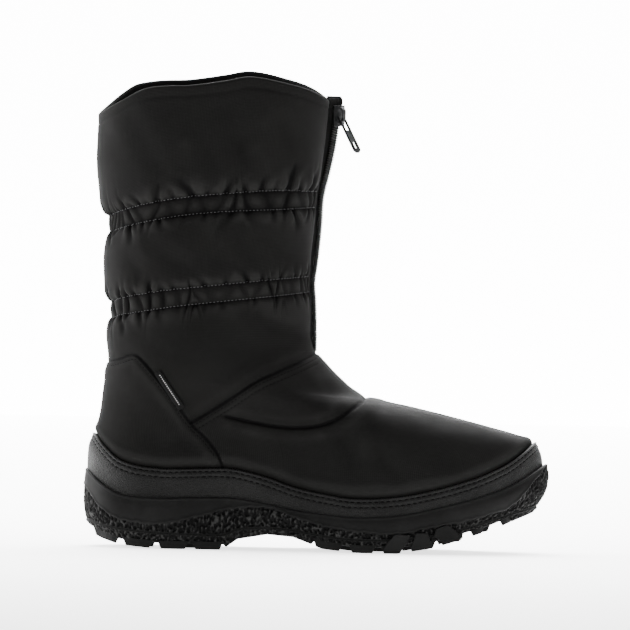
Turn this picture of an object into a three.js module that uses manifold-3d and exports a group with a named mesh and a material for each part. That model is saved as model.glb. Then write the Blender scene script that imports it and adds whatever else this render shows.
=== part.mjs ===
// A snow boot for the right foot: a padded fabric upper with a front zip, drawn in by two
// elastic channels, on a cup sole of two rubbers. Millimetres, +X to the toe, +Z up and -Y to
// the outer side. The origin is on the ground, under the middle of the boot.

import * as THREE from 'three';
import { mergeVertices } from 'three/addons/utils/BufferGeometryUtils.js';
import Module from 'manifold-3d';

// Driving dimensions: the last.
const SOLE_BACK = -143.3;
const SOLE_FRONT = 143.3;
const HEEL_ROUNDING = 38;
const TOE_ROUNDING = 75;
const COLLAR_ARCH_POWER = 4;

// Driving dimensions: walls, gaps and thicknesses.
const UPPER_WALL = 3.2;
const UPPER_INSET = 4.6;
const GAP = 0.35;
const RAND_THICKNESS = 1.8;
const RAND_GAP = 0.4;
const RAND_STEPS = 4;
const INSOLE_THICKNESS = 4.5;
const TREAD_DEPTH = 3.6;
const LUG_DRAFT = 0.8;
const LUG_ROOT_OVERLAP = 1.2;

// Driving dimensions: the zip.
const SLOT_HALF_WIDTH = 8;
const SLOT_BOTTOM = 121.5;
const SLOT_REACH_IN = -60;
const SLOT_REACH_OUT = 60;
const SLOT_TOP = 330;
const CHAIN_HALF_WIDTH = 2.8;
const CHAIN_THICKNESS = 2.2;
const CHAIN_TOP = 260.6;
const TAPE_THICKNESS = 0.9;
const TAPE_TOP = 279.5;
const TAPE_BOTTOM = 122.4;
const TAPE_SINK = 1.2;
const SLIDER_HEIGHT = 267.6;
const SLIDER_TURN = 45;
const PULL_HANG = 36;

// Driving dimensions: the woven label on the edge of the heel panel, outer side.
const LABEL_TOP = { x: -98.9, z: 109.0 };
const LABEL_BOTTOM = { x: -83.9, z: 87.0 };
const LABEL_WIDTH = 4.2;
const LABEL_THICKNESS = 0.9;

// Facets round a loop, and steps between two rows of the upper.
const LOOP_POINTS = 44;
const ROW_STEPS = 1;

// The last's outline seen from above: half width and sideways shift of its middle.
const PLAN = [
  { x: -143.3, half: 41.5, centre: -1.0 },
  { x: -110, half: 40.0, centre: -1.4 },
  { x: -60, half: 38.5, centre: -2.5 },
  { x: -25, half: 39.4, centre: -3.8 },
  { x: 10, half: 44.5, centre: -4.3 },
  { x: 40, half: 50.4, centre: -2.7 },
  { x: 65, half: 52.2, centre: -0.5 },
  { x: 90, half: 51.0, centre: 1.5 },
  { x: 115, half: 48.5, centre: 4.0 },
  { x: 143.3, half: 43.0, centre: 6.5 },
];

// Heights along the foot: cup rim, top of the rand, cup floor, joint of the two rubbers, tread.
const SIDE = [
  { x: -143.3, rim: 43.5, rand: 71.5, floor: 27.0, joint: 17.0, tread: 12.0 },
  { x: -133, rim: 38.6, rand: 63.5, floor: 25.5, joint: 13.8, tread: 7.0 },
  { x: -120, rim: 33.0, rand: 53.6, floor: 24.2, joint: 11.7, tread: 2.6 },
  { x: -97, rim: 31.3, rand: 49.4, floor: 23.3, joint: 9.6, tread: 0 },
  { x: -80, rim: 31.9, rand: 49.6, floor: 23.0, joint: 9.2, tread: 0 },
  { x: -57, rim: 32.4, rand: 50.3, floor: 22.8, joint: 9.2, tread: 0 },
  { x: -48, rim: 31.9, rand: 49.4, floor: 22.0, joint: 12.6, tread: 6.6 },
  { x: -30, rim: 29.0, rand: 45.0, floor: 20.6, joint: 14.0, tread: 9.8 },
  { x: -14, rim: 25.8, rand: 39.6, floor: 18.6, joint: 12.8, tread: 8.6 },
  { x: 4, rim: 23.6, rand: 35.8, floor: 16.2, joint: 9.8, tread: 2.0 },
  { x: 24, rim: 22.0, rand: 33.2, floor: 14.2, joint: 8.0, tread: 0 },
  { x: 50, rim: 23.6, rand: 34.8, floor: 13.8, joint: 8.4, tread: 0 },
  { x: 72, rim: 28.0, rand: 39.2, floor: 16.4, joint: 11.2, tread: 3.7 },
  { x: 90, rim: 32.4, rand: 43.8, floor: 20.6, joint: 15.2, tread: 9.4 },
  { x: 106, rim: 36.6, rand: 49.2, floor: 25.4, joint: 20.0, tread: 14.2 },
  { x: 122, rim: 42.2, rand: 58.4, floor: 31.0, joint: 25.6, tread: 21.0 },
  { x: 143.3, rim: 50.4, rand: 73.5, floor: 38.0, joint: 34.0, tread: 31.0 },
];

// Rows of the upper from the cup floor to the collar. foot is the share of the last's outline,
// wave the share of the rim's dip, and arch the rise of the middle over the two ends.
const ROWS = [
  { row: 0, backX: -137.4, backZ: 41, frontX: 131.5, frontZ: 47,
    half: 34, foot: 1, wave: 1, arch: 0, backRound: 37, frontRound: 70 },
  { row: 1, backX: -138.4, backZ: 43.62, frontX: 135.2, frontZ: 50.2,
    half: 35, foot: 1, wave: 1, arch: 0, backRound: 38, frontRound: 72 },
  { row: 2, backX: -137.6, backZ: 58, frontX: 133.4, frontZ: 60,
    half: 36, foot: 1, wave: 0.76, arch: 0, backRound: 38, frontRound: 74 },
  { row: 3, backX: -135.6, backZ: 68.5, frontX: 129, frontZ: 68,
    half: 37, foot: 0.98, wave: 0.52, arch: 0, backRound: 40, frontRound: 80 },
  { row: 4, backX: -134.2, backZ: 77, frontX: 119, frontZ: 73.6,
    half: 41, foot: 0.9, wave: 0.32, arch: 0, backRound: 42, frontRound: 86 },
  { row: 5, backX: -133, backZ: 85, frontX: 103, frontZ: 78,
    half: 43, foot: 0.79, wave: 0.16, arch: 0, backRound: 44, frontRound: 95 },
  { row: 6, backX: -132.2, backZ: 92, frontX: 83, frontZ: 82.2,
    half: 45.5, foot: 0.64, wave: 0.06, arch: 0, backRound: 46, frontRound: 104 },
  { row: 7, backX: -131.4, backZ: 98.5, frontX: 61, frontZ: 86.6,
    half: 47.5, foot: 0.47, wave: 0, arch: 0, backRound: 48, frontRound: 108 },
  { row: 8, backX: -130.6, backZ: 105, frontX: 41, frontZ: 91.2,
    half: 48.8, foot: 0.32, wave: 0, arch: 0, backRound: 51, frontRound: 106 },
  { row: 9, backX: -129.9, backZ: 111, frontX: 26, frontZ: 95.4,
    half: 49.3, foot: 0.2, wave: 0, arch: 0, backRound: 54, frontRound: 100 },
  { row: 10, backX: -129.6, backZ: 117, frontX: 13.5, frontZ: 105.2,
    half: 49.2, foot: 0.1, wave: 0, arch: 0, backRound: 57, frontRound: 92 },
  { row: 11, backX: -130.2, backZ: 123.5, frontX: 3.2, frontZ: 115.2,
    half: 48.6, foot: 0.04, wave: 0, arch: 0, backRound: 60, frontRound: 82 },
  { row: 12, backX: -130.6, backZ: 130, frontX: -3.6, frontZ: 125,
    half: 48, foot: 0, wave: 0, arch: 0, backRound: 62, frontRound: 74 },
  { row: 13, backX: -130.0, backZ: 137.5, frontX: -5.0, frontZ: 143,
    half: 47.4, foot: 0, wave: 0, arch: 1, backRound: 63, frontRound: 70 },
  { row: 14, backX: -128.8, backZ: 145.5, frontX: -5.4, frontZ: 163.5,
    half: 46, foot: 0, wave: 0, arch: 3, backRound: 63, frontRound: 68 },
  { row: 15, backX: -131.8, backZ: 158, frontX: -5.8, frontZ: 176,
    half: 48.4, foot: 0, wave: 0, arch: 4, backRound: 64, frontRound: 68 },
  { row: 16, backX: -133.0, backZ: 178, frontX: -4.0, frontZ: 196,
    half: 49.4, foot: 0, wave: 0, arch: 6, backRound: 65, frontRound: 68 },
  { row: 17, backX: -131.2, backZ: 198.5, frontX: -2.4, frontZ: 216,
    half: 48.4, foot: 0, wave: 0, arch: 8, backRound: 66, frontRound: 68 },
  { row: 18, backX: -136.2, backZ: 214, frontX: -0.6, frontZ: 231,
    half: 51, foot: 0, wave: 0, arch: 10, backRound: 67, frontRound: 69 },
  { row: 19, backX: -138.6, backZ: 240, frontX: 2.0, frontZ: 253,
    half: 53, foot: 0, wave: 0, arch: 14, backRound: 68, frontRound: 70 },
  { row: 20, backX: -138.4, backZ: 268.8, frontX: 4.0, frontZ: 277.4,
    half: 54, foot: 0, wave: 0, arch: 17, backRound: 68, frontRound: 70 },
];
const COLLAR_ROW = ROWS.length - 1;
const RIM_ROW = 1;

// Rings of the midsole's outer wall, from the joint to the rim, and of the outsole below it.
const MIDSOLE_RINGS = [
  { backX: -141.6, frontX: 132.5, inset: 1.6, from: 'joint', to: 'rim', share: 0.02 },
  { backX: -143.3, frontX: 138.6, inset: 0.2, from: 'joint', to: 'rim', share: 0.34 },
  { backX: -143.1, frontX: 143.3, inset: 0.0, from: 'joint', to: 'rim', share: 0.7 },
  { backX: -142.2, frontX: 141.6, inset: 0.9, from: 'joint', to: 'rim', share: 1 },
];
const OUTSOLE_RINGS = [
  { backX: -136.6, frontX: 121.0, inset: 6.2, from: 'tread', to: 'joint', share: 0 },
  { backX: -141.4, frontX: 132.0, inset: 1.8, from: 'tread', to: 'joint', share: 1 },
];

// Tread lugs along the edges, and down the middle of the forefoot and heel.
const EDGE_LUGS = [
  { from: -131, to: -122 },
  { from: -117, to: -103 },
  { from: -96, to: -80 },
  { from: -74, to: -58.5 },
  { from: 0.5, to: 14.5 },
  { from: 22.5, to: 34.5 },
  { from: 41, to: 52 },
  { from: 58.5, to: 71 },
  { from: 79, to: 91 },
];
const MIDDLE_LUGS = [
  { from: -112, to: -100 },
  { from: -90, to: -72 },
  { from: 8, to: 24 },
  { from: 32, to: 46 },
  { from: 54, to: 66 },
  { from: 76, to: 88 },
  { from: 97, to: 106 },
];
const EDGE_LUG_INNER = 15;
const EDGE_LUG_INSET = 8.2;
const MIDDLE_LUG_HALF = 10;

// The front edge of the shaft and the line of the zip chain up it.
const ZIP_LINE = [
  { z: 121, edge: -2.6, chain: -3.2, turn: 6 },
  { z: 133, edge: -5.0, chain: -3.4, turn: 8 },
  { z: 153, edge: -5.2, chain: -4.2, turn: 10 },
  { z: 164, edge: -5.6, chain: -5.0, turn: 10 },
  { z: 180, edge: -5.4, chain: -3.4, turn: 12 },
  { z: 200, edge: -3.4, chain: -2.2, turn: 16 },
  { z: 217, edge: -2.4, chain: -1.8, turn: 24 },
  { z: 232, edge: -0.6, chain: 1.2, turn: 36 },
  { z: 245, edge: 1.2, chain: 3.6, turn: 42 },
  { z: 262, edge: 3.0, chain: 6.6, turn: 45 },
  { z: 282, edge: 4.4, chain: 9.8, turn: 45 },
];
const ZIP_STATIONS = 16;

// The slider in its own frame: out from the zip, along it, and across it.
const SLIDER = { near: 1.9, face: 3.2, halfLength: 6.4, halfWidth: 4.6, bailOut: 7.8,
  bailTop: 5.6, bailBottom: -4.4, bailBar: 1.1, bailHalfWidth: 1.2, corner: 2.0, bite: 0.6,
  throat: 0.3 };
const PULL = { axisOut: 5.1, axisUp: -1.3, barRadius: 0.75, length: 25.5, halfWidth: 2.75,
  halfThickness: 0.7, eyeHalfWidth: 1.65, eyeEnd: 9.4, slotHalfWidth: 1.0, slotFrom: 17.5,
  slotTo: 22.6, tipRound: 1.6 };

const COLOURS = {
  fabric: { color: 0x1b1b19, roughness: 0.8, metalness: 0 },
  rand: { color: 0x2a2a28, roughness: 0.5, metalness: 0 },
  midsole: { color: 0x242422, roughness: 0.6, metalness: 0 },
  outsole: { color: 0x1e1e1c, roughness: 0.75, metalness: 0 },
  insole: { color: 0x30302e, roughness: 0.95, metalness: 0 },
  zip: { color: 0x151515, roughness: 0.6, metalness: 0 },
  gunmetal: { color: 0x3a3a3c, roughness: 0.3, metalness: 0.9 },
  label: { color: 0x101010, roughness: 0.7, metalness: 0 },
};

const wasm = await Module();
wasm.setup();

function mix(a, b, share) {
  return a + (b - a) * share;
}

// A named column of a table, as a smooth curve through its rows.
function column(table, key, name, at) {
  const last = table.length - 1;
  let i = 0;
  while (i < last - 1 && at > table[i + 1][key]) {
    i += 1;
  }
  const slopeAt = (k) => {
    const low = Math.max(k - 1, 0);
    const high = Math.min(k + 1, last);
    return (table[high][name] - table[low][name]) / (table[high][key] - table[low][key]);
  };
  const span = table[i + 1][key] - table[i][key];
  const t = Math.min(1, Math.max(0, (at - table[i][key]) / span));
  const curve = new THREE.Vector4(
    2 * t ** 3 - 3 * t ** 2 + 1, t ** 3 - 2 * t ** 2 + t, 3 * t ** 2 - 2 * t ** 3, t ** 3 - t ** 2);
  return curve.dot(new THREE.Vector4(
    table[i][name], slopeAt(i) * span, table[i + 1][name], slopeAt(i + 1) * span));
}

// Heights that must stay level between two equal rows are read as straight lines.
function treadHeight(x) {
  let i = 0;
  while (i < SIDE.length - 2 && x > SIDE[i + 1].x) {
    i += 1;
  }
  const share = (x - SIDE[i].x) / (SIDE[i + 1].x - SIDE[i].x);
  return mix(SIDE[i].tread, SIDE[i + 1].tread, Math.min(1, Math.max(0, share)));
}

function sideHeight(name, x) {
  return name === 'tread' ? treadHeight(x) + TREAD_DEPTH : column(SIDE, 'x', name, x);
}

// The quarter-round fall of a width towards the end of a loop.
function roundEnd(distance, radius) {
  const t = Math.min(1, Math.max(0, distance / radius));
  return Math.sqrt(1 - (1 - t) ** 2);
}

function turnSide(turn) {
  return Math.sin(turn) >= 0 ? -1 : 1;
}

// A point on a sole loop. turn runs from the heel by the outer side to the toe and back.
function solePoint(ring, turn) {
  const x = mix(ring.backX, ring.frontX, (1 - Math.cos(turn)) / 2);
  const ends = roundEnd(x - ring.backX, HEEL_ROUNDING) * roundEnd(ring.frontX - x, TOE_ROUNDING);
  const half = column(PLAN, 'x', 'half', x) - ring.inset;
  const y = column(PLAN, 'x', 'centre', x) + turnSide(turn) * half * ends;
  const z = mix(sideHeight(ring.from, x), sideHeight(ring.to, x), ring.share);
  return new THREE.Vector3(x, y, z);
}

// How far the rim dips below the straight line between its two ends.
function rimDip(x) {
  const share = (x - SOLE_BACK) / (SOLE_FRONT - SOLE_BACK);
  return sideHeight('rim', x) - mix(SIDE[0].rim, SIDE[SIDE.length - 1].rim, share);
}

// A point of the upper's outer face, at a row that may lie between two rows of the table.
function upperFace(row, turn) {
  const read = (name) => column(ROWS, 'row', name, row);
  const share = (1 - Math.cos(turn)) / 2;
  const backX = read('backX');
  const frontX = read('frontX');
  const x = mix(backX, frontX, share);
  const foot = read('foot');
  const half = mix(read('half'), column(PLAN, 'x', 'half', x) - UPPER_INSET, foot);
  const ends = roundEnd(x - backX, read('backRound')) * roundEnd(frontX - x, read('frontRound'));
  const y = foot * column(PLAN, 'x', 'centre', x) + turnSide(turn) * half * ends;
  if (row < RIM_ROW) {
    return new THREE.Vector3(x, y, mix(sideHeight('floor', x), sideHeight('rim', x), row));
  }
  const arch = read('arch') * (1 - Math.abs(2 * share - 1) ** COLLAR_ARCH_POWER);
  const z = mix(read('backZ'), read('frontZ'), share) + read('wave') * rimDip(x) + arch;
  return new THREE.Vector3(x, y, z);
}

// The same point moved out from the face, or in where the distance is negative.
function upperPoint(row, turn, distance) {
  const step = 0.02;
  const low = Math.max(0, row - step);
  const high = Math.min(COLLAR_ROW, row + step);
  const up = upperFace(high, turn).sub(upperFace(low, turn));
  const along = upperFace(row, turn + step).sub(upperFace(row, turn - step));
  const outward = along.cross(up).normalize();
  return upperFace(row, turn).addScaledVector(outward, distance);
}

// The row at which the upper's face reaches a height, at one turn of its loops.
function rowAtHeight(height, turn) {
  let low = 0;
  let high = COLLAR_ROW;
  for (let i = 0; i < 30; i += 1) {
    const middle = (low + high) / 2;
    const z = upperFace(middle, turn).z;
    if (z < height(upperFace(middle, turn).x)) {
      low = middle;
    } else {
      high = middle;
    }
  }
  return (low + high) / 2;
}

function loop(pointAt) {
  return Array.from({ length: LOOP_POINTS }, (_, i) => pointAt((2 * Math.PI * i) / LOOP_POINTS));
}

function geometryOf(points, triangles) {
  const geometry = new THREE.BufferGeometry();
  const positions = points.flatMap((p) => [p.x, p.y, p.z]);
  geometry.setAttribute('position', new THREE.Float32BufferAttribute(positions, 3));
  geometry.setIndex(triangles);
  geometry.computeVertexNormals();
  return geometry;
}

// Joins loops of equal length into one skin. The loops run anticlockwise seen from the side
// they end at; closed joins the last to the first, and otherwise both ends are capped.
function skin(loops, closed) {
  const count = loops[0].length;
  const triangles = [];
  const bands = closed ? loops.length : loops.length - 1;
  for (let j = 0; j < bands; j += 1) {
    const next = (j + 1) % loops.length;
    for (let i = 0; i < count; i += 1) {
      const a = j * count + i;
      const b = j * count + ((i + 1) % count);
      const c = next * count + ((i + 1) % count);
      const d = next * count + i;
      triangles.push(a, b, c, a, c, d);
    }
  }
  if (!closed) {
    const top = (loops.length - 1) * count;
    for (let i = 0; i < count / 2 - 1; i += 1) {
      const near = i + 1;
      const far = count - 1 - i;
      const before = (far + 1) % count;
      if (i > 0) {
        triangles.push(i, before, far, top + i, top + far, top + before);
      }
      triangles.push(i, far, near, top + i, top + near, top + far);
    }
    const tip = count / 2;
    triangles.push(tip - 1, tip + 1, tip, top + tip - 1, top + tip, top + tip + 1);
  }
  return geometryOf(loops.flat(), triangles);
}

// A straight-sided solid between a lower and an upper outline with the same corners.
function prism(lower, upper) {
  const count = lower.length;
  const triangles = [];
  for (let i = 0; i < count; i += 1) {
    const next = (i + 1) % count;
    triangles.push(i, next, count + next, i, count + next, count + i);
  }
  for (let i = 1; i < count - 1; i += 1) {
    triangles.push(0, i + 1, i, count, count + i, count + i + 1);
  }
  return geometryOf([...lower, ...upper], triangles);
}

function toSolid(geometry) {
  return new wasm.Manifold(new wasm.Mesh({
    numProp: 3,
    vertProperties: geometry.getAttribute('position').array,
    triVerts: new Uint32Array(geometry.getIndex().array),
  }));
}

function toGeometry(solid) {
  const mesh = solid.getMesh();
  const geometry = new THREE.BufferGeometry();
  geometry.setAttribute('position', new THREE.Float32BufferAttribute(mesh.vertProperties, 3));
  geometry.setIndex(Array.from(mesh.triVerts));
  geometry.computeVertexNormals();
  return geometry;
}

// Upper: one padded wall from the cup floor to the collar, slit down the front for the zip.
function upperGeometry() {
  const rows = Array.from({ length: COLLAR_ROW * ROW_STEPS + 1 }, (_, i) => i / ROW_STEPS);
  const outside = rows.map((row) => loop((turn) => upperPoint(row, turn, 0)));
  const inside = rows.map((row) => loop((turn) => upperPoint(row, turn, -UPPER_WALL))).reverse();
  const shell = toSolid(skin([...outside, ...inside], true));
  const slot = toSolid(slotGeometry());
  return toGeometry(shell.subtract(slot));
}

function slotGeometry() {
  const corners = (z) => [
    new THREE.Vector3(SLOT_REACH_IN, -SLOT_HALF_WIDTH, z),
    new THREE.Vector3(SLOT_REACH_OUT, -SLOT_HALF_WIDTH, z),
    new THREE.Vector3(SLOT_REACH_OUT, SLOT_HALF_WIDTH, z),
    new THREE.Vector3(SLOT_REACH_IN, SLOT_HALF_WIDTH, z),
  ];
  return prism(corners(SLOT_BOTTOM), corners(SLOT_TOP));
}

// Rand: the strip stitched round the foot above the rim, cut between two offsets of the upper.
function randGeometry() {
  const steps = Array.from({ length: RAND_STEPS + 1 }, (_, i) => i / RAND_STEPS);
  const strip = (distance) => steps.map((share) => loop((turn) => {
    const bottom = rowAtHeight((x) => sideHeight('rim', x) + 2 * GAP, turn);
    const top = rowAtHeight((x) => sideHeight('rand', x), turn);
    const point = upperPoint(mix(bottom, top, share), turn, distance);
    return share === 0 ? point.setZ(sideHeight('rim', point.x) + 2 * GAP) : point;
  }));
  return skin([...strip(RAND_GAP + RAND_THICKNESS), ...strip(RAND_GAP).reverse()], true);
}

// Midsole: a cup with a floor under the foot and a wall round the foot of the upper.
function midsoleGeometry() {
  const wall = MIDSOLE_RINGS.map((ring) => loop((turn) => solePoint(ring, turn)));
  const rim = loop((turn) => {
    const point = upperPoint(RIM_ROW, turn, GAP);
    return point.setZ(sideHeight('rim', point.x));
  });
  const floor = loop((turn) => {
    const point = upperPoint(0, turn, GAP);
    return point.setZ(sideHeight('floor', point.x) - GAP);
  });
  return skin([...wall, rim, floor], false);
}

// Insole: a flat pad inside the foot of the upper, on the cup floor.
function insoleGeometry() {
  const slice = (rise) => loop((turn) => {
    const point = upperPoint(0, turn, -UPPER_WALL - GAP);
    return point.setZ(sideHeight('floor', point.x) + rise);
  });
  return skin([slice(0), slice(INSOLE_THICKNESS)], false);
}

// A lug: a block from its flat foot up into the tread plate, with sloping sides.
function lugGeometry(corners) {
  const middle = corners.reduce((sum, [x]) => sum + x, 0) / corners.length;
  const centreY = corners.reduce((sum, [, y]) => sum + y, 0) / corners.length;
  const foot = treadHeight(middle);
  const lower = corners.map(([x, y]) => new THREE.Vector3(
    x - Math.sign(x - middle) * LUG_DRAFT, y - Math.sign(y - centreY) * LUG_DRAFT, foot));
  const upper = corners.map(([x, y]) => new THREE.Vector3(
    x, y, treadHeight(x) + TREAD_DEPTH + LUG_ROOT_OVERLAP));
  return prism(lower, upper);
}

function lugCorners(lug, low, high) {
  return [[lug.from, low(lug.from)], [lug.to, low(lug.to)],
    [lug.to, high(lug.to)], [lug.from, high(lug.from)]];
}

// Outsole: a tread plate under the midsole with lugs along its edges and down its middle.
function outsoleGeometry() {
  const rings = OUTSOLE_RINGS.map((ring) => loop((turn) => {
    const point = solePoint(ring, turn);
    return ring.share === 1 ? point.setZ(point.z - GAP) : point;
  }));
  let solid = toSolid(skin(rings, false));
  const centre = (x) => column(PLAN, 'x', 'centre', x);
  const edge = (x) => (column(PLAN, 'x', 'half', x) - EDGE_LUG_INSET)
    * roundEnd(x - OUTSOLE_RINGS[0].backX, HEEL_ROUNDING)
    * roundEnd(OUTSOLE_RINGS[0].frontX - x, TOE_ROUNDING);
  for (const lug of EDGE_LUGS) {
    const outer = lugCorners(lug, (x) => centre(x) - edge(x), (x) => centre(x) - EDGE_LUG_INNER);
    const inner = lugCorners(lug, (x) => centre(x) + EDGE_LUG_INNER, (x) => centre(x) + edge(x));
    solid = solid.add(toSolid(lugGeometry(outer))).add(toSolid(lugGeometry(inner)));
  }
  for (const lug of MIDDLE_LUGS) {
    const corners = lugCorners(
      lug, (x) => centre(x) - MIDDLE_LUG_HALF, (x) => centre(x) + MIDDLE_LUG_HALF);
    solid = solid.add(toSolid(lugGeometry(corners)));
  }
  return toGeometry(solid);
}

function zipNormal(turnDegrees) {
  const turn = THREE.MathUtils.degToRad(turnDegrees);
  return new THREE.Vector3(Math.cos(turn), -Math.sin(turn), 0);
}

// The zip at a height: the middle of its chain, and its outward and across directions.
function zipFrame(z) {
  const out = zipNormal(column(ZIP_LINE, 'z', 'turn', z));
  const across = new THREE.Vector3(-out.y, out.x, 0);
  const middle = new THREE.Vector3(column(ZIP_LINE, 'z', 'chain', z), 0, z);
  return { middle, out, across, edgeX: column(ZIP_LINE, 'z', 'edge', z) };
}

// A strip run up the zip from a four-cornered section that may change with height.
function zipStrip(bottom, top, sectionAt) {
  const loops = Array.from({ length: ZIP_STATIONS + 1 }, (_, i) => (
    sectionAt(mix(bottom, top, i / ZIP_STATIONS))));
  return skin(loops, false);
}

function chainGeometry() {
  const corner = (frame, side, depth) => frame.middle.clone()
    .addScaledVector(frame.across, side * CHAIN_HALF_WIDTH)
    .addScaledVector(frame.out, (depth * CHAIN_THICKNESS) / 2);
  return zipStrip(TAPE_BOTTOM, CHAIN_TOP, (z) => {
    const frame = zipFrame(z);
    return [corner(frame, -1, -1), corner(frame, -1, 1), corner(frame, 1, 1), corner(frame, 1, -1)];
  });
}

// One tape, from the chain's edge back to the edge of the slot. side is -1 on the outer side.
function tapeGeometry(side) {
  return zipStrip(TAPE_BOTTOM, TAPE_TOP, (z) => {
    const frame = zipFrame(z);
    const chainEdge = frame.middle.clone()
      .addScaledVector(frame.across, side * (CHAIN_HALF_WIDTH + TAPE_THICKNESS));
    const slotEdge = new THREE.Vector3(
      frame.edgeX - TAPE_SINK, side * (SLOT_HALF_WIDTH - GAP), z);
    const facing = slotEdge.clone().sub(chainEdge);
    const thick = new THREE.Vector3(-facing.y, facing.x, 0).normalize();
    thick.multiplyScalar((-side * TAPE_THICKNESS) / 2);
    const section = [
      chainEdge.clone().sub(thick),
      chainEdge.clone().add(thick),
      slotEdge.clone().add(thick),
      slotEdge.clone().sub(thick),
    ];
    return side < 0 ? section.reverse() : section;
  });
}

// The slider's outline in its own frame, extruded across it: a back plate and a closed bail.
function sliderGeometry() {
  const plate = new THREE.BoxGeometry(
    SLIDER.face - SLIDER.near, 2 * SLIDER.halfWidth, 2 * SLIDER.halfLength);
  plate.translate((SLIDER.face + SLIDER.near) / 2, 0, 0);
  const outline = (left, inset) => {
    const right = SLIDER.bailOut - inset;
    const low = SLIDER.bailBottom + inset;
    const high = SLIDER.bailTop - inset;
    const round = SLIDER.corner;
    return [[left, low], [right - round, low], [right, low + round], [right, high - round],
      [right - round, high], [left, high]];
  };
  const path = (points) => points.map(([x, y]) => new THREE.Vector2(x, y));
  const shape = new THREE.Shape(path(outline(SLIDER.face - SLIDER.bite, 0)));
  shape.holes.push(new THREE.Path(path(outline(SLIDER.face + SLIDER.throat, SLIDER.bailBar))));
  const bail = new THREE.ExtrudeGeometry(
    shape, { depth: 2 * SLIDER.bailHalfWidth, bevelEnabled: false });
  bail.rotateX(Math.PI / 2);
  bail.translate(0, SLIDER.bailHalfWidth, 0);
  return toGeometry(weldedSolid(plate).add(weldedSolid(bail)));
}

function weldedSolid(geometry) {
  const bare = geometry.clone();
  bare.deleteAttribute('normal');
  bare.deleteAttribute('uv');
  return toSolid(mergeVertices(bare, 1e-4));
}

// The pull tab hanging along -Z from its eye's bar on the origin, with its slot near the tip.
function pullGeometry() {
  const rectangle = (halfWidth, from, to) => [
    [-halfWidth, -from], [-halfWidth, -to], [halfWidth, -to], [halfWidth, -from]];
  const path = (points) => points.map(([x, y]) => new THREE.Vector2(x, y));
  const tip = PULL.length;
  const round = PULL.tipRound;
  const outline = [
    [-PULL.halfWidth, PULL.barRadius], [-PULL.halfWidth, -tip + round],
    [-PULL.halfWidth + round, -tip], [PULL.halfWidth - round, -tip],
    [PULL.halfWidth, -tip + round], [PULL.halfWidth, PULL.barRadius]];
  const shape = new THREE.Shape(path(outline));
  const eye = rectangle(PULL.eyeHalfWidth, PULL.barRadius, PULL.eyeEnd);
  const slot = rectangle(PULL.slotHalfWidth, PULL.slotFrom, PULL.slotTo);
  shape.holes.push(new THREE.Path(path(eye)), new THREE.Path(path(slot)));
  const plate = new THREE.ExtrudeGeometry(
    shape, { depth: 2 * PULL.halfThickness, bevelEnabled: false });
  plate.translate(0, 0, -PULL.halfThickness);
  plate.rotateX(Math.PI / 2);
  plate.rotateZ(Math.PI / 2);
  return plate;
}

// Label: a woven tab along the heel panel's edge, cut between two offsets of the upper's face.
function labelGeometry() {
  const along = new THREE.Vector2(LABEL_BOTTOM.x - LABEL_TOP.x, LABEL_BOTTOM.z - LABEL_TOP.z);
  const across = new THREE.Vector2(-along.y, along.x).normalize();
  const faceAt = (x, z, distance) => {
    let low = RIM_ROW;
    let high = COLLAR_ROW;
    const turnAt = (row) => {
      const backX = column(ROWS, 'row', 'backX', row);
      const frontX = column(ROWS, 'row', 'frontX', row);
      return Math.acos(1 - (2 * (x - backX)) / (frontX - backX));
    };
    for (let i = 0; i < 30; i += 1) {
      const middle = (low + high) / 2;
      if (upperFace(middle, turnAt(middle)).z < z) {
        low = middle;
      } else {
        high = middle;
      }
    }
    return upperPoint(low, turnAt(low), distance);
  };
  const stations = 4;
  const loops = Array.from({ length: stations + 1 }, (_, i) => {
    const x = mix(LABEL_TOP.x, LABEL_BOTTOM.x, i / stations);
    const z = mix(LABEL_TOP.z, LABEL_BOTTOM.z, i / stations);
    const corner = (side, distance) => faceAt(
      x + (side * across.x * LABEL_WIDTH) / 2, z + (side * across.y * LABEL_WIDTH) / 2, distance);
    const lift = 2 * GAP;
    return [corner(-1, lift), corner(1, lift), corner(1, lift + LABEL_THICKNESS),
      corner(-1, lift + LABEL_THICKNESS)];
  });
  return skin(loops, false);
}

const boot = new THREE.Group();

function addPart(name, geometry, finish) {
  const mesh = new THREE.Mesh(geometry, new THREE.MeshStandardMaterial(COLOURS[finish]));
  mesh.name = name;
  boot.add(mesh);
  return mesh;
}

addPart('upper', upperGeometry(), 'fabric');
addPart('rand', randGeometry(), 'rand');
addPart('midsole', midsoleGeometry(), 'midsole');
addPart('outsole', outsoleGeometry(), 'outsole');
addPart('insole', insoleGeometry(), 'insole');
addPart('zip_chain', chainGeometry(), 'zip');
addPart('zip_tape_outer', tapeGeometry(-1), 'zip');
addPart('zip_tape_inner', tapeGeometry(1), 'zip');
addPart('label_tab', labelGeometry(), 'label');

// The slider is turned towards the outer side, and the pull hangs from its bail.
const sliderFrame = zipFrame(SLIDER_HEIGHT);
const turned = THREE.MathUtils.degToRad(-SLIDER_TURN);
const slider = addPart('zip_slider', sliderGeometry(), 'gunmetal');
slider.position.copy(sliderFrame.middle);
slider.rotation.z = turned;

const pullMount = new THREE.Group();
pullMount.position.copy(sliderFrame.middle)
  .addScaledVector(zipNormal(SLIDER_TURN), PULL.axisOut)
  .add(new THREE.Vector3(0, 0, PULL.axisUp));
pullMount.rotation.z = turned;
const pull = addPart('zip_pull', pullGeometry(), 'gunmetal');
pull.rotation.y = THREE.MathUtils.degToRad(-PULL_HANG);
pullMount.add(pull);
boot.add(pullMount);

export default boot;
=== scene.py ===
import math
import random

import bmesh
import bpy
import numpy as np
from mathutils import Matrix, Vector
from mathutils.bvhtree import BVHTree
from mathutils.noise import noise


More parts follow.
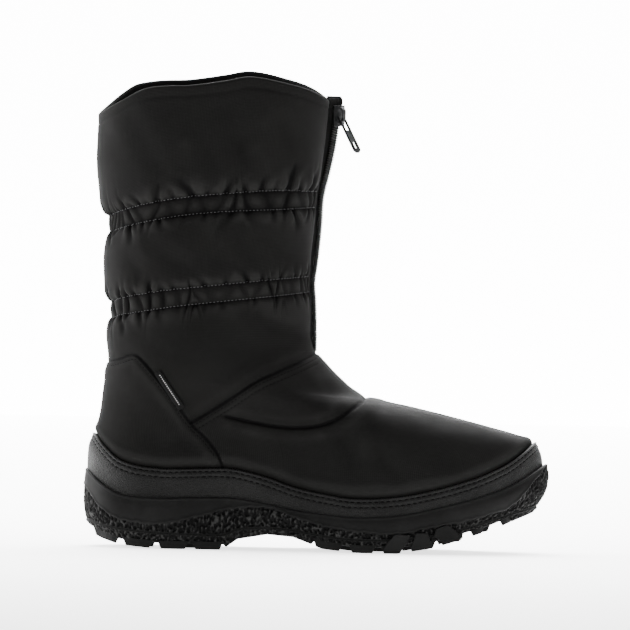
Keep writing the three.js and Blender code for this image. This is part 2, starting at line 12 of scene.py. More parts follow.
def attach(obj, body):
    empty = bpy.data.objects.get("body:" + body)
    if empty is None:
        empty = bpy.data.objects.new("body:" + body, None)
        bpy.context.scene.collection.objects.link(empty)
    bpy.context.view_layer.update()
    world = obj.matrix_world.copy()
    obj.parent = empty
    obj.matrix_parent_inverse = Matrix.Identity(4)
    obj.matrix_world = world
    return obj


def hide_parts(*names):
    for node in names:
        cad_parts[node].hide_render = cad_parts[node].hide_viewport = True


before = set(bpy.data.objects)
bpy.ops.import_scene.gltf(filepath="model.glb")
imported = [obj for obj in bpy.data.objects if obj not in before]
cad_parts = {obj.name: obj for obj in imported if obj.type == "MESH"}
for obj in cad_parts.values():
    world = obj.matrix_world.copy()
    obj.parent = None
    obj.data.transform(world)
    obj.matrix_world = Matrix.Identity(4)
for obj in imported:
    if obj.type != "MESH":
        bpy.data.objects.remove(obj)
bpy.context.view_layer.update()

# Camera. The boot is looked at square on from its outer side and from far away, a little above
# the ground, and the camera is rolled slightly, so that the toe seems a little lower.
VIEW_CENTRE = Vector((-0.0029, 0.0, 0.1446))
VIEW_DISTANCE = 3.6
VIEW_WIDTH = 0.388
VIEW_RISE = math.radians(1.9)
VIEW_ROLL = math.radians(1.12)
camera = bpy.data.objects.new("camera", bpy.data.cameras.new("camera"))
bpy.context.scene.collection.objects.link(camera)
camera.data.type = "ORTHO"
camera.data.ortho_scale = VIEW_WIDTH
eye = VIEW_CENTRE + VIEW_DISTANCE * Vector((0, -math.cos(VIEW_RISE), math.sin(VIEW_RISE)))
ahead = (VIEW_CENTRE - eye).normalized()
rightward = Vector((math.cos(VIEW_ROLL), 0, math.sin(VIEW_ROLL)))
rightward = (rightward - rightward.dot(ahead) * ahead).normalized()
upward = rightward.cross(ahead)
camera.matrix_world = Matrix((
    (rightward.x, upward.x, -ahead.x, eye.x),
    (rightward.y, upward.y, -ahead.y, eye.y),
    (rightward.z, upward.z, -ahead.z, eye.z),
    (0, 0, 0, 1)))
bpy.context.scene.camera = camera

# Studio. A pale floor that glows a little, a glowing wall well behind the boot, a dim surround,
# a broad lamp overhead, one over the far floor, and softboxes before and behind the boot that
# catch the turning edges of the cloth.
SURROUND_STRENGTH = 0.24
FLOOR_HALF = 6.0
WALL_AT = 2.4
WALL_HALF = 0.95
WALL_HEIGHT = 1.1
world = bpy.data.worlds.new("surround")
world.use_nodes = True
world.node_tree.nodes["Background"].inputs["Color"].default_value = (1, 1, 1, 1)
world.node_tree.nodes["Background"].inputs["Strength"].default_value = SURROUND_STRENGTH
bpy.context.scene.world = world


def stage_sheet(name, corners, grey, roughness, glow):
    """A flat sheet of the studio: its corners in metres, its finish and how much it glows."""
    mesh = bpy.data.meshes.new(name)
    mesh.from_pydata(corners, [], [(0, 1, 2, 3)])
    sheet = bpy.data.objects.new(name, mesh)
    bpy.context.scene.collection.objects.link(sheet)
    paint = bpy.data.materials.new(name + "_paint")
    paint.use_nodes = True
    shader = paint.node_tree.nodes["Principled BSDF"]
    shader.inputs["Base Color"].default_value = (grey, grey, grey, 1)
    shader.inputs["Roughness"].default_value = roughness
    shader.inputs["Emission Color"].default_value = (1, 1, 1, 1)
    shader.inputs["Emission Strength"].default_value = glow
    mesh.materials.append(paint)


stage_sheet("floor", [
    (-FLOOR_HALF, -FLOOR_HALF, 0), (FLOOR_HALF, -FLOOR_HALF, 0),
    (FLOOR_HALF, FLOOR_HALF, 0), (-FLOOR_HALF, FLOOR_HALF, 0)],
    grey=0.97, roughness=0.9, glow=2.2)
stage_sheet("wall", [
    (-WALL_HALF, WALL_AT, 0), (WALL_HALF, WALL_AT, 0),
    (WALL_HALF, WALL_AT, WALL_HEIGHT), (-WALL_HALF, WALL_AT, WALL_HEIGHT)],
    grey=0.9, roughness=0.5, glow=7.0)
LAMPS = [
    {"name": "overhead", "at": (0.1, 0.15, 1.5), "to": (0, 0, 0), "size": 1.6, "watts": 52},
    {"name": "far_floor", "at": (0, 1.5, 1.6), "to": (0, 1.2, 0), "size": 1.8, "watts": 240},
    {"name": "outer_front", "at": (0.9, -1.6, 0.8), "to": (0, 0, 0.12), "size": 0.9, "watts": 10},
    {"name": "rim_back", "at": (-1.1, 0.35, 0.5), "to": (0, 0, 0.15), "size": 0.8, "watts": 38},
    {"name": "rim_toe", "at": (1.2, 0.5, 0.6), "to": (0.1, 0, 0.1), "size": 0.8, "watts": 5},
]
for lamp_row in LAMPS:
    lamp_data = bpy.data.lights.new(lamp_row["name"], "AREA")
    lamp_data.size = lamp_row["size"]
    lamp_data.energy = lamp_row["watts"]
    lamp = bpy.data.objects.new(lamp_row["name"], lamp_data)
    lamp.location = lamp_row["at"]
    aim = Vector(lamp_row["to"]) - lamp.location
    lamp.rotation_euler = aim.to_track_quat("-Z", "Y").to_euler()
    bpy.context.scene.collection.objects.link(lamp)

# Shaft. The upper part of the boot's leg: matt black nylon taffeta over wadding, drawn in by two
# elastic bands, each sewn between two rows of stitches, so that the cloth gathers in them and
# puckers beside them. It is open down the front for the zip and turned in round the collar.
MM = 0.001
UPPER_WALL = 3.2
UPPER_INSET = 4.6
COLLAR_ARCH_POWER = 4
# The last that every piece is built on, in millimetres: the outline of the foot from above, the
# heights along its side, and the rows of the upper from the cup's floor to the collar.
PLAN = {
    "x": [-143.3, -110, -60, -25, 10, 40, 65, 90, 115, 143.3],
    "half": [41.5, 40, 38.5, 39.4, 44.5, 50.4, 52.2, 51, 48.5, 43],
    "centre": [-1, -1.4, -2.5, -3.8, -4.3, -2.7, -0.5, 1.5, 4, 6.5],
}
SIDE = {
    "x": [-143.3, -133, -120, -97, -80, -57, -48, -30, -14, 4, 24, 50, 72, 90, 106, 122, 143.3],
    "rim": [49, 39.4, 33, 31.3, 31.9, 32.4, 31.9, 29, 25.8, 23.6, 22, 23.6, 28, 32.4, 37,
            43.3, 56.6],
    "rand": [82, 65, 53.6, 49.4, 49.6, 50.3, 49.4, 45, 39.6, 35.8, 33.2, 34.8, 39.2, 44.2,
             50.2, 59, 77.5],
    "floor": [27, 25.5, 24.2, 23.3, 23, 22.8, 22, 20.6, 18.6, 16.2, 14.2, 13.8, 16.4, 20.6,
              25.4, 31, 38],
    "joint": [17, 13.8, 11.7, 9.6, 9.2, 9.2, 12.6, 14, 12.8, 9.8, 8, 8.4, 11.2, 15.2, 20,
              25.2, 31],
    "tread": [12, 6, 1.8, 0, 0, 0, 6.6, 9.8, 8.6, 2, 0, 0, 3.7, 9.2, 13.8, 20.4, 29],
    "bark": [38, 24.3, 17.5, 15.2, 18.2, 24.4, 26, 26.6, 21.4, 16.2, 13.2, 12, 16.4, 20,
             24.4, 31, 57],
}
ROWS = {
    "row": list(range(21)),
    "backX": [-137.4, -139.0, -138.8, -136.4, -134.4, -133, -132.2, -131.4, -130.6, -129.9,
              -129.6, -130.2, -130.6, -130, -128.8, -131.8, -133, -131.2, -136.2, -138.6, -138.4],
    "backZ": [41, 43.62, 58, 68.5, 77, 85, 92, 98.5, 105, 111,
              117, 123.5, 130, 137.5, 145.5, 158, 178, 198.5, 214, 240, 268.8],
    "frontX": [131.5, 136.8, 135.2, 130.8, 119.4, 103, 83, 61, 41, 26,
               13.5, 3.2, -3.6, -5, -5.4, -5.8, -4, -2.4, -0.6, 2, 4],
    "frontZ": [47, 50.2, 61, 70.6, 76.2, 80, 83.8, 87.6, 91.6, 95.4,
               105.2, 115.2, 125, 143, 163.5, 176, 196, 216, 231, 253, 277.4],
    "half": [34, 35, 36, 37, 41, 43, 45.5, 47.5, 48.8, 49.3,
             49.2, 48.6, 48, 47.4, 46, 48.4, 49.4, 48.4, 51, 53, 54],
    "foot": [1, 1, 1, 0.98, 0.9, 0.79, 0.64, 0.47, 0.32, 0.2,
             0.1, 0.04, 0, 0, 0, 0, 0, 0, 0, 0, 0],
    "wave": [1, 1, 0.76, 0.52, 0.32, 0.16, 0.06, 0, 0, 0,
             0, 0, 0, 0, 0, 0, 0, 0, 0, 0, 0],
    "arch": [0, 0, 0, 0, 0, 0, 0, 0, 0, 0,
             0, 0, 0, 1, 3, 4, 6, 8, 10, 14, 17],
    "backRound": [37, 38, 38, 40, 42, 44, 46, 48, 51, 54,
                  57, 60, 62, 63, 63, 64, 65, 66, 67, 68, 68],
    "frontRound": [70, 72, 74, 80, 86, 95, 104, 108, 106, 100,
                   92, 82, 74, 70, 68, 68, 68, 68, 69, 70, 70],
}
# The rim's ends as the rows near the cup follow them, which is less steeply than the rim itself.
RIM_ENDS = (43.5, 50.4)
RIM_ROW = 1
COLLAR_ROW = 20
# The shaft's own grid, its slot, and the rolled edges of the slot and the collar with the facing.
SHAFT_ROWS = 196
SHAFT_COLUMNS = 424
SLOT_HALF_WIDTH = 8.0
COLLAR_ROLL = UPPER_WALL / 2
COLLAR_ROLL_STEPS = 7
FACING_DROPS = (4, 8, 12, 16)
EDGE_ROLL_STEPS = 5
LEAST_ROLL = 0.02
# The collar's own line above or below the last's top row, on either side, and the rows over
# which it comes in.
COLLAR_SHAPE = {
    "x": [-140, -131, -124, -117, -110, -98, -83, -60, -46, -21, 5],
    "outer": [-3.4, -4.8, -5.2, -4.0, -3.0, -3.5, -4.2, -2.2, -0.5, -3.4, -2.0],
    "inner": [-3.4, -3.8, -2.8, -1.6, -2.2, -3.3, -4.2, -2.2, -0.5, -3.4, -2.0],
}
COLLAR_SHAPE_FROM = 18.5
# The groove of the collar's seam: how far down it is, how wide and how deep.
COLLAR_ROW_HEIGHT = 26
COLLAR_GROOVE = (5, 1.2, -0.35)
BANDS = {
    "upper": {
        "x": [-133, -124, -107, -86, -60, -25, -3],
        "top": [202.8, 207.2, 212.6, 216.7, 219.8, 222.0, 221.0],
        "low": [192.5, 197.0, 201.8, 206.0, 208.8, 210.4, 211.2],
    },
    "lower": {
        "x": [-129, -124, -107, -86, -58, -30, -6],
        "top": [150.2, 153.0, 157.0, 160.4, 163.8, 166.8, 168.8],
        "low": [140.6, 142.8, 146.4, 150.0, 153.4, 156.4, 158.8],
    },
}
# Puckers beside each band: degrees round the leg from the back, how far each reaches from the
# stitches, how deep and wide it is, and how far it leans sideways over its reach.
PUCKERS_ABOVE = {
    "upper": [(11, 12, 1.3, 1.9, -3), (32, 10, 0.8, 1.5, 2), (46, 11, 1.0, 1.7, -2),
              (57, 14, 1.3, 1.9, 3), (68, 9, 0.7, 1.4, -1), (79, 17, 1.6, 2.3, -5),
              (87, 8, 0.7, 1.3, 1), (97, 15, 1.4, 2.0, 4), (108, 9, 0.8, 1.4, -1),
              (117, 14, 1.2, 1.8, 2), (126, 8, 0.6, 1.3, 0), (135, 20, 1.9, 2.2, 3),
              (146, 10, 0.8, 1.5, -2), (157, 15, 1.4, 1.8, 2)],
    "lower": [(13, 11, 1.3, 1.8, -2), (27, 12, 1.2, 1.7, 3), (41, 8, 0.8, 1.4, -1),
              (53, 15, 1.5, 2.0, 3), (69, 9, 0.8, 1.5, -2), (87, 12, 1.0, 1.7, -3),
              (99, 10, 0.9, 1.5, 1), (112, 16, 1.6, 2.0, -4), (121, 12, 1.2, 1.6, 1),
              (134, 11, 1.0, 1.5, 3), (148, 12, 1.1, 1.6, -2), (162, 13, 1.3, 1.6, 2)],
}
PUCKERS_BELOW = {
    "upper": [(14, 10, 1.2, 1.6, 3), (37, 15, 1.5, 1.9, 4), (48, 8, 0.7, 1.3, 1),
              (59, 10, 1.0, 1.6, 3), (86, 6, 0.6, 1.3, -1), (108, 7, 0.7, 1.4, 2),
              (126, 9, 0.9, 1.5, 1), (141, 15, 1.4, 1.8, 4), (158, 9, 0.9, 1.4, -2)],
    "lower": [(12, 10, 1.1, 1.6, 3), (27, 15, 1.4, 1.9, 5), (44, 12, 1.3, 1.7, 4),
              (58, 9, 0.9, 1.5, 2), (87, 7, 0.7, 1.4, -1), (96, 6, 0.7, 1.3, 1),
              (116, 6, 0.6, 1.3, 1), (132, 8, 0.9, 1.5, -2), (147, 9, 0.9, 1.4, 2),
              (158, 8, 0.9, 1.4, 2)],
}
GATHER_SPACING = 8.4
# How far the elastic draws the cloth in, how far the cloth swells between its stitch rows, and
# the gathers there: their height, and the depth and width of the creases between them.
BAND_SINK = 1.45
BAND_SWELL = 0.65
GATHER_HEIGHT = 0.95
GATHER_CREASE = 0.48
GATHER_CREASE_WIDTH = 1.8
# Beside a band: the rise over which the draw fades, the padding's swell above and below the
# band and the reach of the small gathers there, and the rises over which the swell comes and goes.
DRAW_FADE = 1.7
BESIDE_ABOVE = (2.1, 5.0)
BESIDE_BELOW = (1.3, 3.6)
SWELL_COMES = 5
SWELL_GOES = 24
# The height of the puff between the bands, where one band's pull hands over to the other's.
MIDDLE_PUFF = 177
MIDDLE_PUFF_SLOPE = 0.1
MIDDLE_PUFF_BLEND = 18
# Faint ripples of the wadding: how many go round the leg, how they turn as they climb, and where
# they start.
RIPPLES = [(5, 0.11, 0.0), (9, -0.07, 1.0), (3, -0.19, 2.0)]
RIPPLE_HEIGHT = 0.16
# Creases stop softly before they reach the lining, and are shallower at the slot's stiff edges.
DEEPEST_CREASE = -2.0
DEEPEST_SOFTNESS = 0.6
SLOT_EDGE_STIFF = 0.55
SLOT_EDGE_REACH = 5
LEG_ROUND = 62.0
# Long soft folds of the leg and foot, seen from the side: two ends, width and depth; a fold
# with a negative depth is a ridge.
SOFT_FOLDS = [
    (-118, 262, -96, 226, 7, 0.9), (-60, 268, -46, 232, 9, 0.8), (-26, 262, -14, 236, 6, 1.0),
    (-84, 250, -74, 228, 6, -0.8), (-40, 248, -28, 226, 6, -0.8), (-108, 190, -84, 172, 6, 0.8),
    (-70, 198, -52, 178, 7, -0.8), (-34, 194, -18, 176, 6, 0.8), (-120, 188, -112, 166, 5, 0.9),
    (-118, 136, -98, 122, 5, 0.9), (-92, 140, -60, 118, 8, -0.8), (-44, 146, -16, 126, 7, 0.9),
    (-30, 138, -8, 132, 4, 0.7), (-18, 112, 6, 92, 5, 0.9), (0, 110, 14, 88, 3.5, 0.8),
    (8, 78, 20, 56, 5, 0.8), (22, 84, 32, 62, 5, -0.8), (-40, 72, -20, 52, 7, -0.6),
    (60, 70, 84, 52, 9, 0.6), (-112, 100, -92, 72, 7, -0.6), (36, 60, 50, 44, 6, 0.6),
]
# Nylon: a fine plain weave with a little sheen, with painted shade in its creases and where panels
# meet, and painted highlights on its ridges and on the weave's raised threads.
NYLON = (0.0055, 0.0055, 0.0052, 1)
NYLON_DARK = (0.0018, 0.0018, 0.0017, 1)
NYLON_LIGHT = (0.0029, 0.0029, 0.0027, 1)
NYLON_WEAVE_HIGHLIGHT = (0.0085, 0.0085, 0.0081, 1)
NYLON_CREASE_SHADE = (0.0006, 0.0006, 0.0006, 1)
NYLON_RIDGE_HIGHLIGHT = (0.0092, 0.0092, 0.0088, 1)
NYLON_SEAM_SHADE = (0.0008, 0.0008, 0.0008, 1)
NYLON_PITCH = 0.85


def mix(low, high, share):
    return low + (high - low) * share


def smooth_column(table, key, name, at):
    """A named column of a table as a smooth curve through its rows."""
    keys = np.asarray(table[key], dtype=float)
    values = np.asarray(table[name], dtype=float)
    slopes = np.empty_like(values)
    slopes[1:-1] = (values[2:] - values[:-2]) / (keys[2:] - keys[:-2])
    slopes[0] = (values[1] - values[0]) / (keys[1] - keys[0])
    slopes[-1] = (values[-1] - values[-2]) / (keys[-1] - keys[-2])
    at = np.clip(np.asarray(at, dtype=float), keys[0], keys[-1])
    i = np.clip(np.searchsorted(keys, at, side="right") - 1, 0, len(keys) - 2)
    span = keys[i + 1] - keys[i]
    t = (at - keys[i]) / span
    return ((2 * t**3 - 3 * t**2 + 1) * values[i] + (t**3 - 2 * t**2 + t) * slopes[i] * span
            + (3 * t**2 - 2 * t**3) * values[i + 1] + (t**3 - t**2) * slopes[i + 1] * span)


def side_height(name, x):
    if name == "tread":
        return np.interp(x, SIDE["x"], SIDE["tread"])
    return smooth_column(SIDE, "x", name, x)


def round_end(distance, radius):
    t = np.clip(distance / radius, 0, 1)
    return np.sqrt(np.maximum(0, 1 - (1 - t) ** 2))


def step_up(gap, width=0.5):
    """A smooth step from nought to one, as gap goes through nought over a width."""
    t = np.clip(gap / width + 0.5, 0, 1)
    return t * t * (3 - 2 * t)


def ridge(distance, at, width, height):
    """A soft ridge across a distance, or a groove where its height is negative."""
    return height * np.exp(-((distance - at) / width) ** 2)


def rim_dip(x):
    share = (x - SIDE["x"][0]) / (SIDE["x"][-1] - SIDE["x"][0])
    return side_height("rim", x) - mix(RIM_ENDS[0], RIM_ENDS[1], share)


def upper_face(row, turn):
    """A point of the upper's outer face. turn runs from 0 at the back to pi at the front, by
    the outer side where it is positive and by the inner side where it is negative."""
    row, turn = np.broadcast_arrays(np.asarray(row, dtype=float), np.asarray(turn, dtype=float))
    read = {name: smooth_column(ROWS, "row", name, row) for name in ROWS if name != "row"}
    share = (1 - np.cos(turn)) / 2
    x = mix(read["backX"], read["frontX"], share)
    foot_half = smooth_column(PLAN, "x", "half", x) - UPPER_INSET
    half = mix(read["half"], foot_half, read["foot"])
    ends = (round_end(x - read["backX"], read["backRound"])
            * round_end(read["frontX"] - x, read["frontRound"]))
    y = read["foot"] * smooth_column(PLAN, "x", "centre", x) - np.sign(np.sin(turn)) * half * ends
    arch = read["arch"] * (1 - np.abs(2 * share - 1) ** COLLAR_ARCH_POWER)
    z = mix(read["backZ"], read["frontZ"], share) + read["wave"] * rim_dip(x) + arch
    in_cup = mix(side_height("floor", x), side_height("rim", x), np.clip(row, 0, 1))
    return np.stack([x, y, np.where(row < RIM_ROW, in_cup, z)], axis=-1)


def upper_normal(row, turn):
    step = 0.02
    up = upper_face(np.minimum(row + step, COLLAR_ROW), turn) - upper_face(
        np.maximum(row - step, 0), turn)
    along = upper_face(row, turn + step) - upper_face(row, turn - step)
    normal = np.cross(along, up)
    return normal / np.maximum(np.linalg.norm(normal, axis=-1, keepdims=True), 1e-9)


def row_at_height(height, turn):
    """The row where the upper's face reaches height(x), for each turn."""
    low = np.zeros_like(turn)
    high = np.full_like(turn, COLLAR_ROW)
    for _ in range(26):
        middle = (low + high) / 2
        face = upper_face(middle, turn)
        below = face[..., 2] < height(face[..., 0])
        low = np.where(below, middle, low)
        high = np.where(below, high, middle)
    return (low + high) / 2


def grid_object(name, points, uv=None, closed=False, attributes=None):
    """A mesh object from a grid of points, rows by columns, in millimetres."""
    rows, columns = points.shape[:2]
    index = np.arange(rows * columns).reshape(rows, columns)
    if closed:
        index = np.concatenate([index, index[:, :1]], axis=1)
    quads = np.stack([index[:-1, :-1], index[:-1, 1:], index[1:, 1:], index[1:, :-1]], axis=-1)
    quads = quads.reshape(-1, 4)
    mesh = bpy.data.meshes.new(name)
    mesh.from_pydata((points.reshape(-1, 3) * MM).tolist(), [], quads.tolist())
    for key, values in (attributes or {}).items():
        layer = mesh.attributes.new(key, "FLOAT", "POINT")
        layer.data.foreach_set("value", np.asarray(values, dtype=np.float32).reshape(-1))
    if uv is not None:
        layer = mesh.uv_layers.new(name="weave")
        corners = np.empty(len(mesh.loops), dtype=np.int32)
        mesh.loops.foreach_get("vertex_index", corners)
        flat = uv.reshape(-1, 2)[corners]
        layer.data.foreach_set("uv", flat.astype(np.float32).reshape(-1))
    mesh.polygons.foreach_set("use_smooth", np.ones(len(mesh.polygons), dtype=bool))
    mesh.update()
    thing = bpy.data.objects.new(name, mesh)
    bpy.context.scene.collection.objects.link(thing)
    return thing


def surface_uv(points):
    """Distances in millimetres along the columns and rows of a grid, for a weave."""
    along = np.linalg.norm(np.diff(points, axis=1), axis=-1)
    up = np.linalg.norm(np.diff(points, axis=0), axis=-1)
    middle = along[along.shape[0] // 2]
    u = np.concatenate([[0], np.cumsum(middle)])
    v = np.concatenate([[0], np.cumsum(up.mean(axis=1))])
    grid = np.empty(points.shape[:2] + (2,))
    grid[..., 0] = u[None, :]
    grid[..., 1] = v[:, None]
    return grid


def new_material(name, colour, roughness, specular=0.5, metallic=0.0):
    """A material with a plain colour, for viewers that show no nodes, and its finish."""
    material = bpy.data.materials.new(name)
    material.use_nodes = True
    shader = material.node_tree.nodes["Principled BSDF"]
    shader.inputs["Base Color"].default_value = colour
    shader.inputs["Roughness"].default_value = roughness
    shader.inputs["Specular IOR Level"].default_value = specular
    shader.inputs["Metallic"].default_value = metallic
    return material, material.node_tree, shader


def add_sheen(shader, weight, roughness):
    shader.inputs["Sheen Weight"].default_value = weight
    shader.inputs["Sheen Roughness"].default_value = roughness


def add_node(tree, kind, inputs=None, **settings):
    made = tree.nodes.new(kind)
    for key, value in settings.items():
        setattr(made, key, value)
    for key, value in (inputs or {}).items():
        if isinstance(value, bpy.types.NodeSocket):
            tree.links.new(value, made.inputs[key])
        else:
            made.inputs[key].default_value = value
    return made


def maths(tree, operation, a, b=0.0, c=0.0):
    return add_node(tree, "ShaderNodeMath", {0: a, 1: b, 2: c}, operation=operation).outputs[0]


def fade(tree, value, low, high, at_low, at_high):
    """A number that goes smoothly from at_low to at_high as value goes from low to high."""
    ramp = add_node(tree, "ShaderNodeMapRange", {
        "Value": value, "From Min": low, "From Max": high, "To Min": at_low, "To Max": at_high},
        interpolation_type="SMOOTHSTEP")
    return ramp.outputs["Result"]


def mix_colour(tree, factor, a, b):
    return add_node(tree, "ShaderNodeMix", {0: factor, 6: a, 7: b}, data_type="RGBA").outputs[2]


def weave_height(tree, pitch):
    """The height of a plain weave over the piece's own weave map."""
    place = add_node(tree, "ShaderNodeUVMap", uv_map="weave").outputs["UV"]
    waves = []
    for direction in ("X", "Y"):
        waves.append(add_node(tree, "ShaderNodeTexWave", {
            "Vector": place, "Scale": 0.314 / pitch, "Distortion": 0.6, "Detail": 1.0,
            "Detail Scale": 2.0}, wave_type="BANDS", bands_direction=direction).outputs["Fac"])
    return maths(tree, "ADD", waves[0], waves[1])


def object_noise(tree, scale, detail=3.0, stretch=(1, 1, 1)):
    place = add_node(tree, "ShaderNodeTexCoord").outputs["Object"]
    turned = add_node(tree, "ShaderNodeMapping", {"Vector": place, "Scale": stretch})
    return add_node(tree, "ShaderNodeTexNoise", {
        "Vector": turned.outputs["Vector"], "Scale": scale, "Detail": detail}).outputs["Fac"]


def attribute(tree, name):
    return add_node(tree, "ShaderNodeAttribute", attribute_name=name).outputs["Fac"]


def add_bump(tree, shader, heights):
    """Chains several heights, each with its strength and depth in metres, into the shader."""
    last = None
    for height, strength, depth in heights:
        bump = add_node(tree, "ShaderNodeBump", {
            "Height": height, "Strength": strength, "Distance": depth})
        if last is not None:
            tree.links.new(last, bump.inputs["Normal"])
        last = bump.outputs["Normal"]
    tree.links.new(last, shader.inputs["Normal"])


def nylon_material(name, seams):
    """Nylon, with a painted shade line wherever one of the named seam distances is nought."""
    material, tree, shader = new_material(name, NYLON, 0.8, specular=0.03)
    add_sheen(shader, 0.02, 0.32)
    mottle = object_noise(tree, 38, 4)
    colour = mix_colour(tree, fade(tree, mottle, 0.3, 0.7, 0.0, 1.0), NYLON_DARK, NYLON_LIGHT)
    weave = weave_height(tree, NYLON_PITCH)
    # painted highlight on the weave's raised threads
    colour = mix_colour(tree, fade(tree, weave, 0.2, 1.6, 0.0, 0.45), colour, NYLON_WEAVE_HIGHLIGHT)
    crease = attribute(tree, "crease")
    # painted shade in the creases, darker where the cloth lies below the cloth round it, and painted
    # highlight on the ridges
    colour = mix_colour(tree, fade(tree, crease, -0.9, 0.05, 0.85, 0.0), colour, NYLON_CREASE_SHADE)
    colour = mix_colour(tree, fade(tree, crease, 0.05, 0.8, 0.0, 0.6), colour, NYLON_RIDGE_HIGHLIGHT)
    # painted shade along each seam's crease
    for seam in seams:
        gap = maths(tree, "ABSOLUTE", attribute(tree, seam))
        colour = mix_colour(tree, fade(tree, gap, 0.25, 1.5, 0.95, 0.0), colour, NYLON_SEAM_SHADE)
    tree.links.new(colour, shader.inputs["Base Color"])
    thread = object_noise(tree, 900, 2)
    soft = object_noise(tree, 26, 3)
    add_bump(tree, shader, [(weave, 0.30, 0.00006), (thread, 0.25, 0.00005),
                            (soft, 0.25, 0.0012)])
    tree.links.new(fade(tree, mottle, 0.3, 0.7, 0.72, 0.86), shader.inputs["Roughness"])
    return material


def slot_turn(row):
    """How far short of the front the slot's edge lies, as a turn, at each row."""
    front = smooth_column(ROWS, "row", "frontX", row)
    length = front - smooth_column(ROWS, "row", "backX", row)
    half = smooth_column(ROWS, "row", "half", row)
    slope = np.sqrt(length / (2 * smooth_column(ROWS, "row", "frontRound", row)))
    return SLOT_HALF_WIDTH / (half * slope)


def band_line(band, edge, x):
    return smooth_column(BANDS[band], "x", edge, x)


def soft_folds(x, z, side):
    """The sum of the long soft folds at points of the side view."""
    total = np.zeros_like(x)
    for k, (x0, z0, x1, z1, width, depth) in enumerate(SOFT_FOLDS):
        # the inner side has the same kind of folds, moved and turned a little
        shift = np.where(side > 0, 0.0, 5.0 * math.sin(2.3 * k))
        px = x - x0 - shift
        pz = z - z0 + shift * 0.7
        ax, az = x1 - x0, z1 - z0
        t = np.clip((px * ax + pz * az) / (ax * ax + az * az), 0, 1)
        gap = np.hypot(px - t * ax, pz - t * az)
        across = gap / width
        total -= 0.5 * depth * (ridge(across, 0, 1, 1) - ridge(across, 1.6, 0.8, 0.35))
    return total


def pucker(turn, rise, rows):
    """Listed troughs with raised shoulders that run away from a stitch row."""
    total = np.zeros_like(rise)
    for k, (at, reach, depth, width, lean) in enumerate(rows):
        for side in (1, -1):
            # the inner side's puckers lie a little beside the outer side's
            place = math.radians(at if side > 0 else at * 0.985 + 4.0 * math.sin(1.7 * k))
            share = np.clip(rise / reach, 0, 1.4)
            across = (turn - side * place) * LEG_ROUND - 1.6 * lean * side * share
            across = across + 0.8 * np.sin(0.42 * rise + 2.1 * k) * share
            spread = width * (0.8 + 1.0 * share)
            fall = np.where(rise >= 0, np.maximum(0, 1 - share) ** 1.15, 0)
            shoulders = (ridge(across, 2.1 * spread, 1.3 * spread, 0.7)
                         + ridge(across, -2.1 * spread, 1.3 * spread, 0.7))
            total += depth * fall * (shoulders + ridge(across, 0, spread, -1.45))
    return total


def gather_places(seed):
    """Where the gathers of a band lie round the leg, and how strong each one is."""
    draw = random.Random(seed)
    places = [-math.pi]
    while places[-1] < math.pi:
        places.append(places[-1] + GATHER_SPACING * draw.uniform(0.35, 1.8) / LEG_ROUND)
    strength = np.array([draw.uniform(0.35, 1.5) for _ in places])
    return np.array(places), strength, np.array([draw.uniform(-0.9, 0.9) for _ in places])


def band_relief(band, seed, x, z, turn):
    """How far the cloth stands in or out at and beside one elastic band."""
    top = band_line(band, "top", x)
    low = band_line(band, "low", x)
    places, strength, leans = gather_places(seed)
    middle = (top + low) / 2
    drift = np.interp(turn, places, leans) * (z - middle) / LEG_ROUND
    drift = np.clip(drift, -0.15, 0.15)
    phase = np.interp(turn - drift, places, np.arange(len(places)))
    nearest = np.clip(np.round(phase).astype(int), 0, len(places) - 1)
    power = np.interp(phase, np.arange(len(places)), strength)
    gap = np.abs(phase - nearest) * GATHER_SPACING
    puff = (np.sin(np.pi * phase) ** 2) ** 0.7
    inside = (z > low) & (z < top)
    u = np.clip((z - low) / (top - low), 0, 1)
    swell = np.sin(np.pi * u) ** 0.8
    crease = ridge(gap, 0, GATHER_CREASE_WIDTH, GATHER_CREASE) * power**2 * (0.4 + 0.6 * swell)
    within = swell * (BAND_SWELL + GATHER_HEIGHT * puff * power) - crease - BAND_SINK
    total = np.where(inside, within, 0)
    for rise, rows, (lift, reach) in ((z - top, PUCKERS_ABOVE[band], BESIDE_ABOVE),
                                      (low - z, PUCKERS_BELOW[band], BESIDE_BELOW)):
        height = np.maximum(rise, 0)
        swelling = lift * (1 - np.exp(-height / SWELL_COMES)) * np.exp(-height / SWELL_GOES)
        drawn = -BAND_SINK * np.exp(-height / DRAW_FADE)
        small = 0.7 * (puff - 0.6) * power - ridge(gap, 0, 1.4 + 0.16 * height, 0.6) * power**2
        small = small * np.exp(-height / (reach * (0.35 + 0.75 * power)))
        total += np.where(rise >= 0, swelling + drawn + small, 0)
        total += pucker(turn, rise, rows)
    return total


def crease_depth(relief, reach=7):
    """How far each point stands above or below the cloth round it."""
    level = relief
    count = 2 * reach + 1
    for axis in (0, 1, 0, 1):
        wide = np.pad(level, [(reach, reach) if k == axis else (0, 0) for k in (0, 1)], "edge")
        total = np.cumsum(np.insert(wide, 0, 0, axis=axis), axis=axis)
        size = level.shape[axis]
        level = (np.take(total, range(count, count + size), axis=axis)
                 - np.take(total, range(size), axis=axis)) / count
    return relief - level


def leg_relief(x, z, turn):
    """How far the padded cloth of the leg and foot stands off the last."""
    to_upper = step_up(z - MIDDLE_PUFF - MIDDLE_PUFF_SLOPE * x, MIDDLE_PUFF_BLEND)
    relief = band_relief("upper", 11, x, z, turn) * to_upper
    relief = relief + band_relief("lower", 23, x, z, turn) * (1 - to_upper)
    relief = relief + soft_folds(x, z, np.where(turn >= 0, 1, -1))
    ripple = sum(np.sin(turn * count + z * twist + start) for count, twist, start in RIPPLES)
    return relief + RIPPLE_HEIGHT * ripple


def first_leg_row(turn):
    """The row where the leg's cloth is sewn to the foot's, along the lower band."""
    return row_at_height(lambda x: band_line("lower", "low", x), turn)


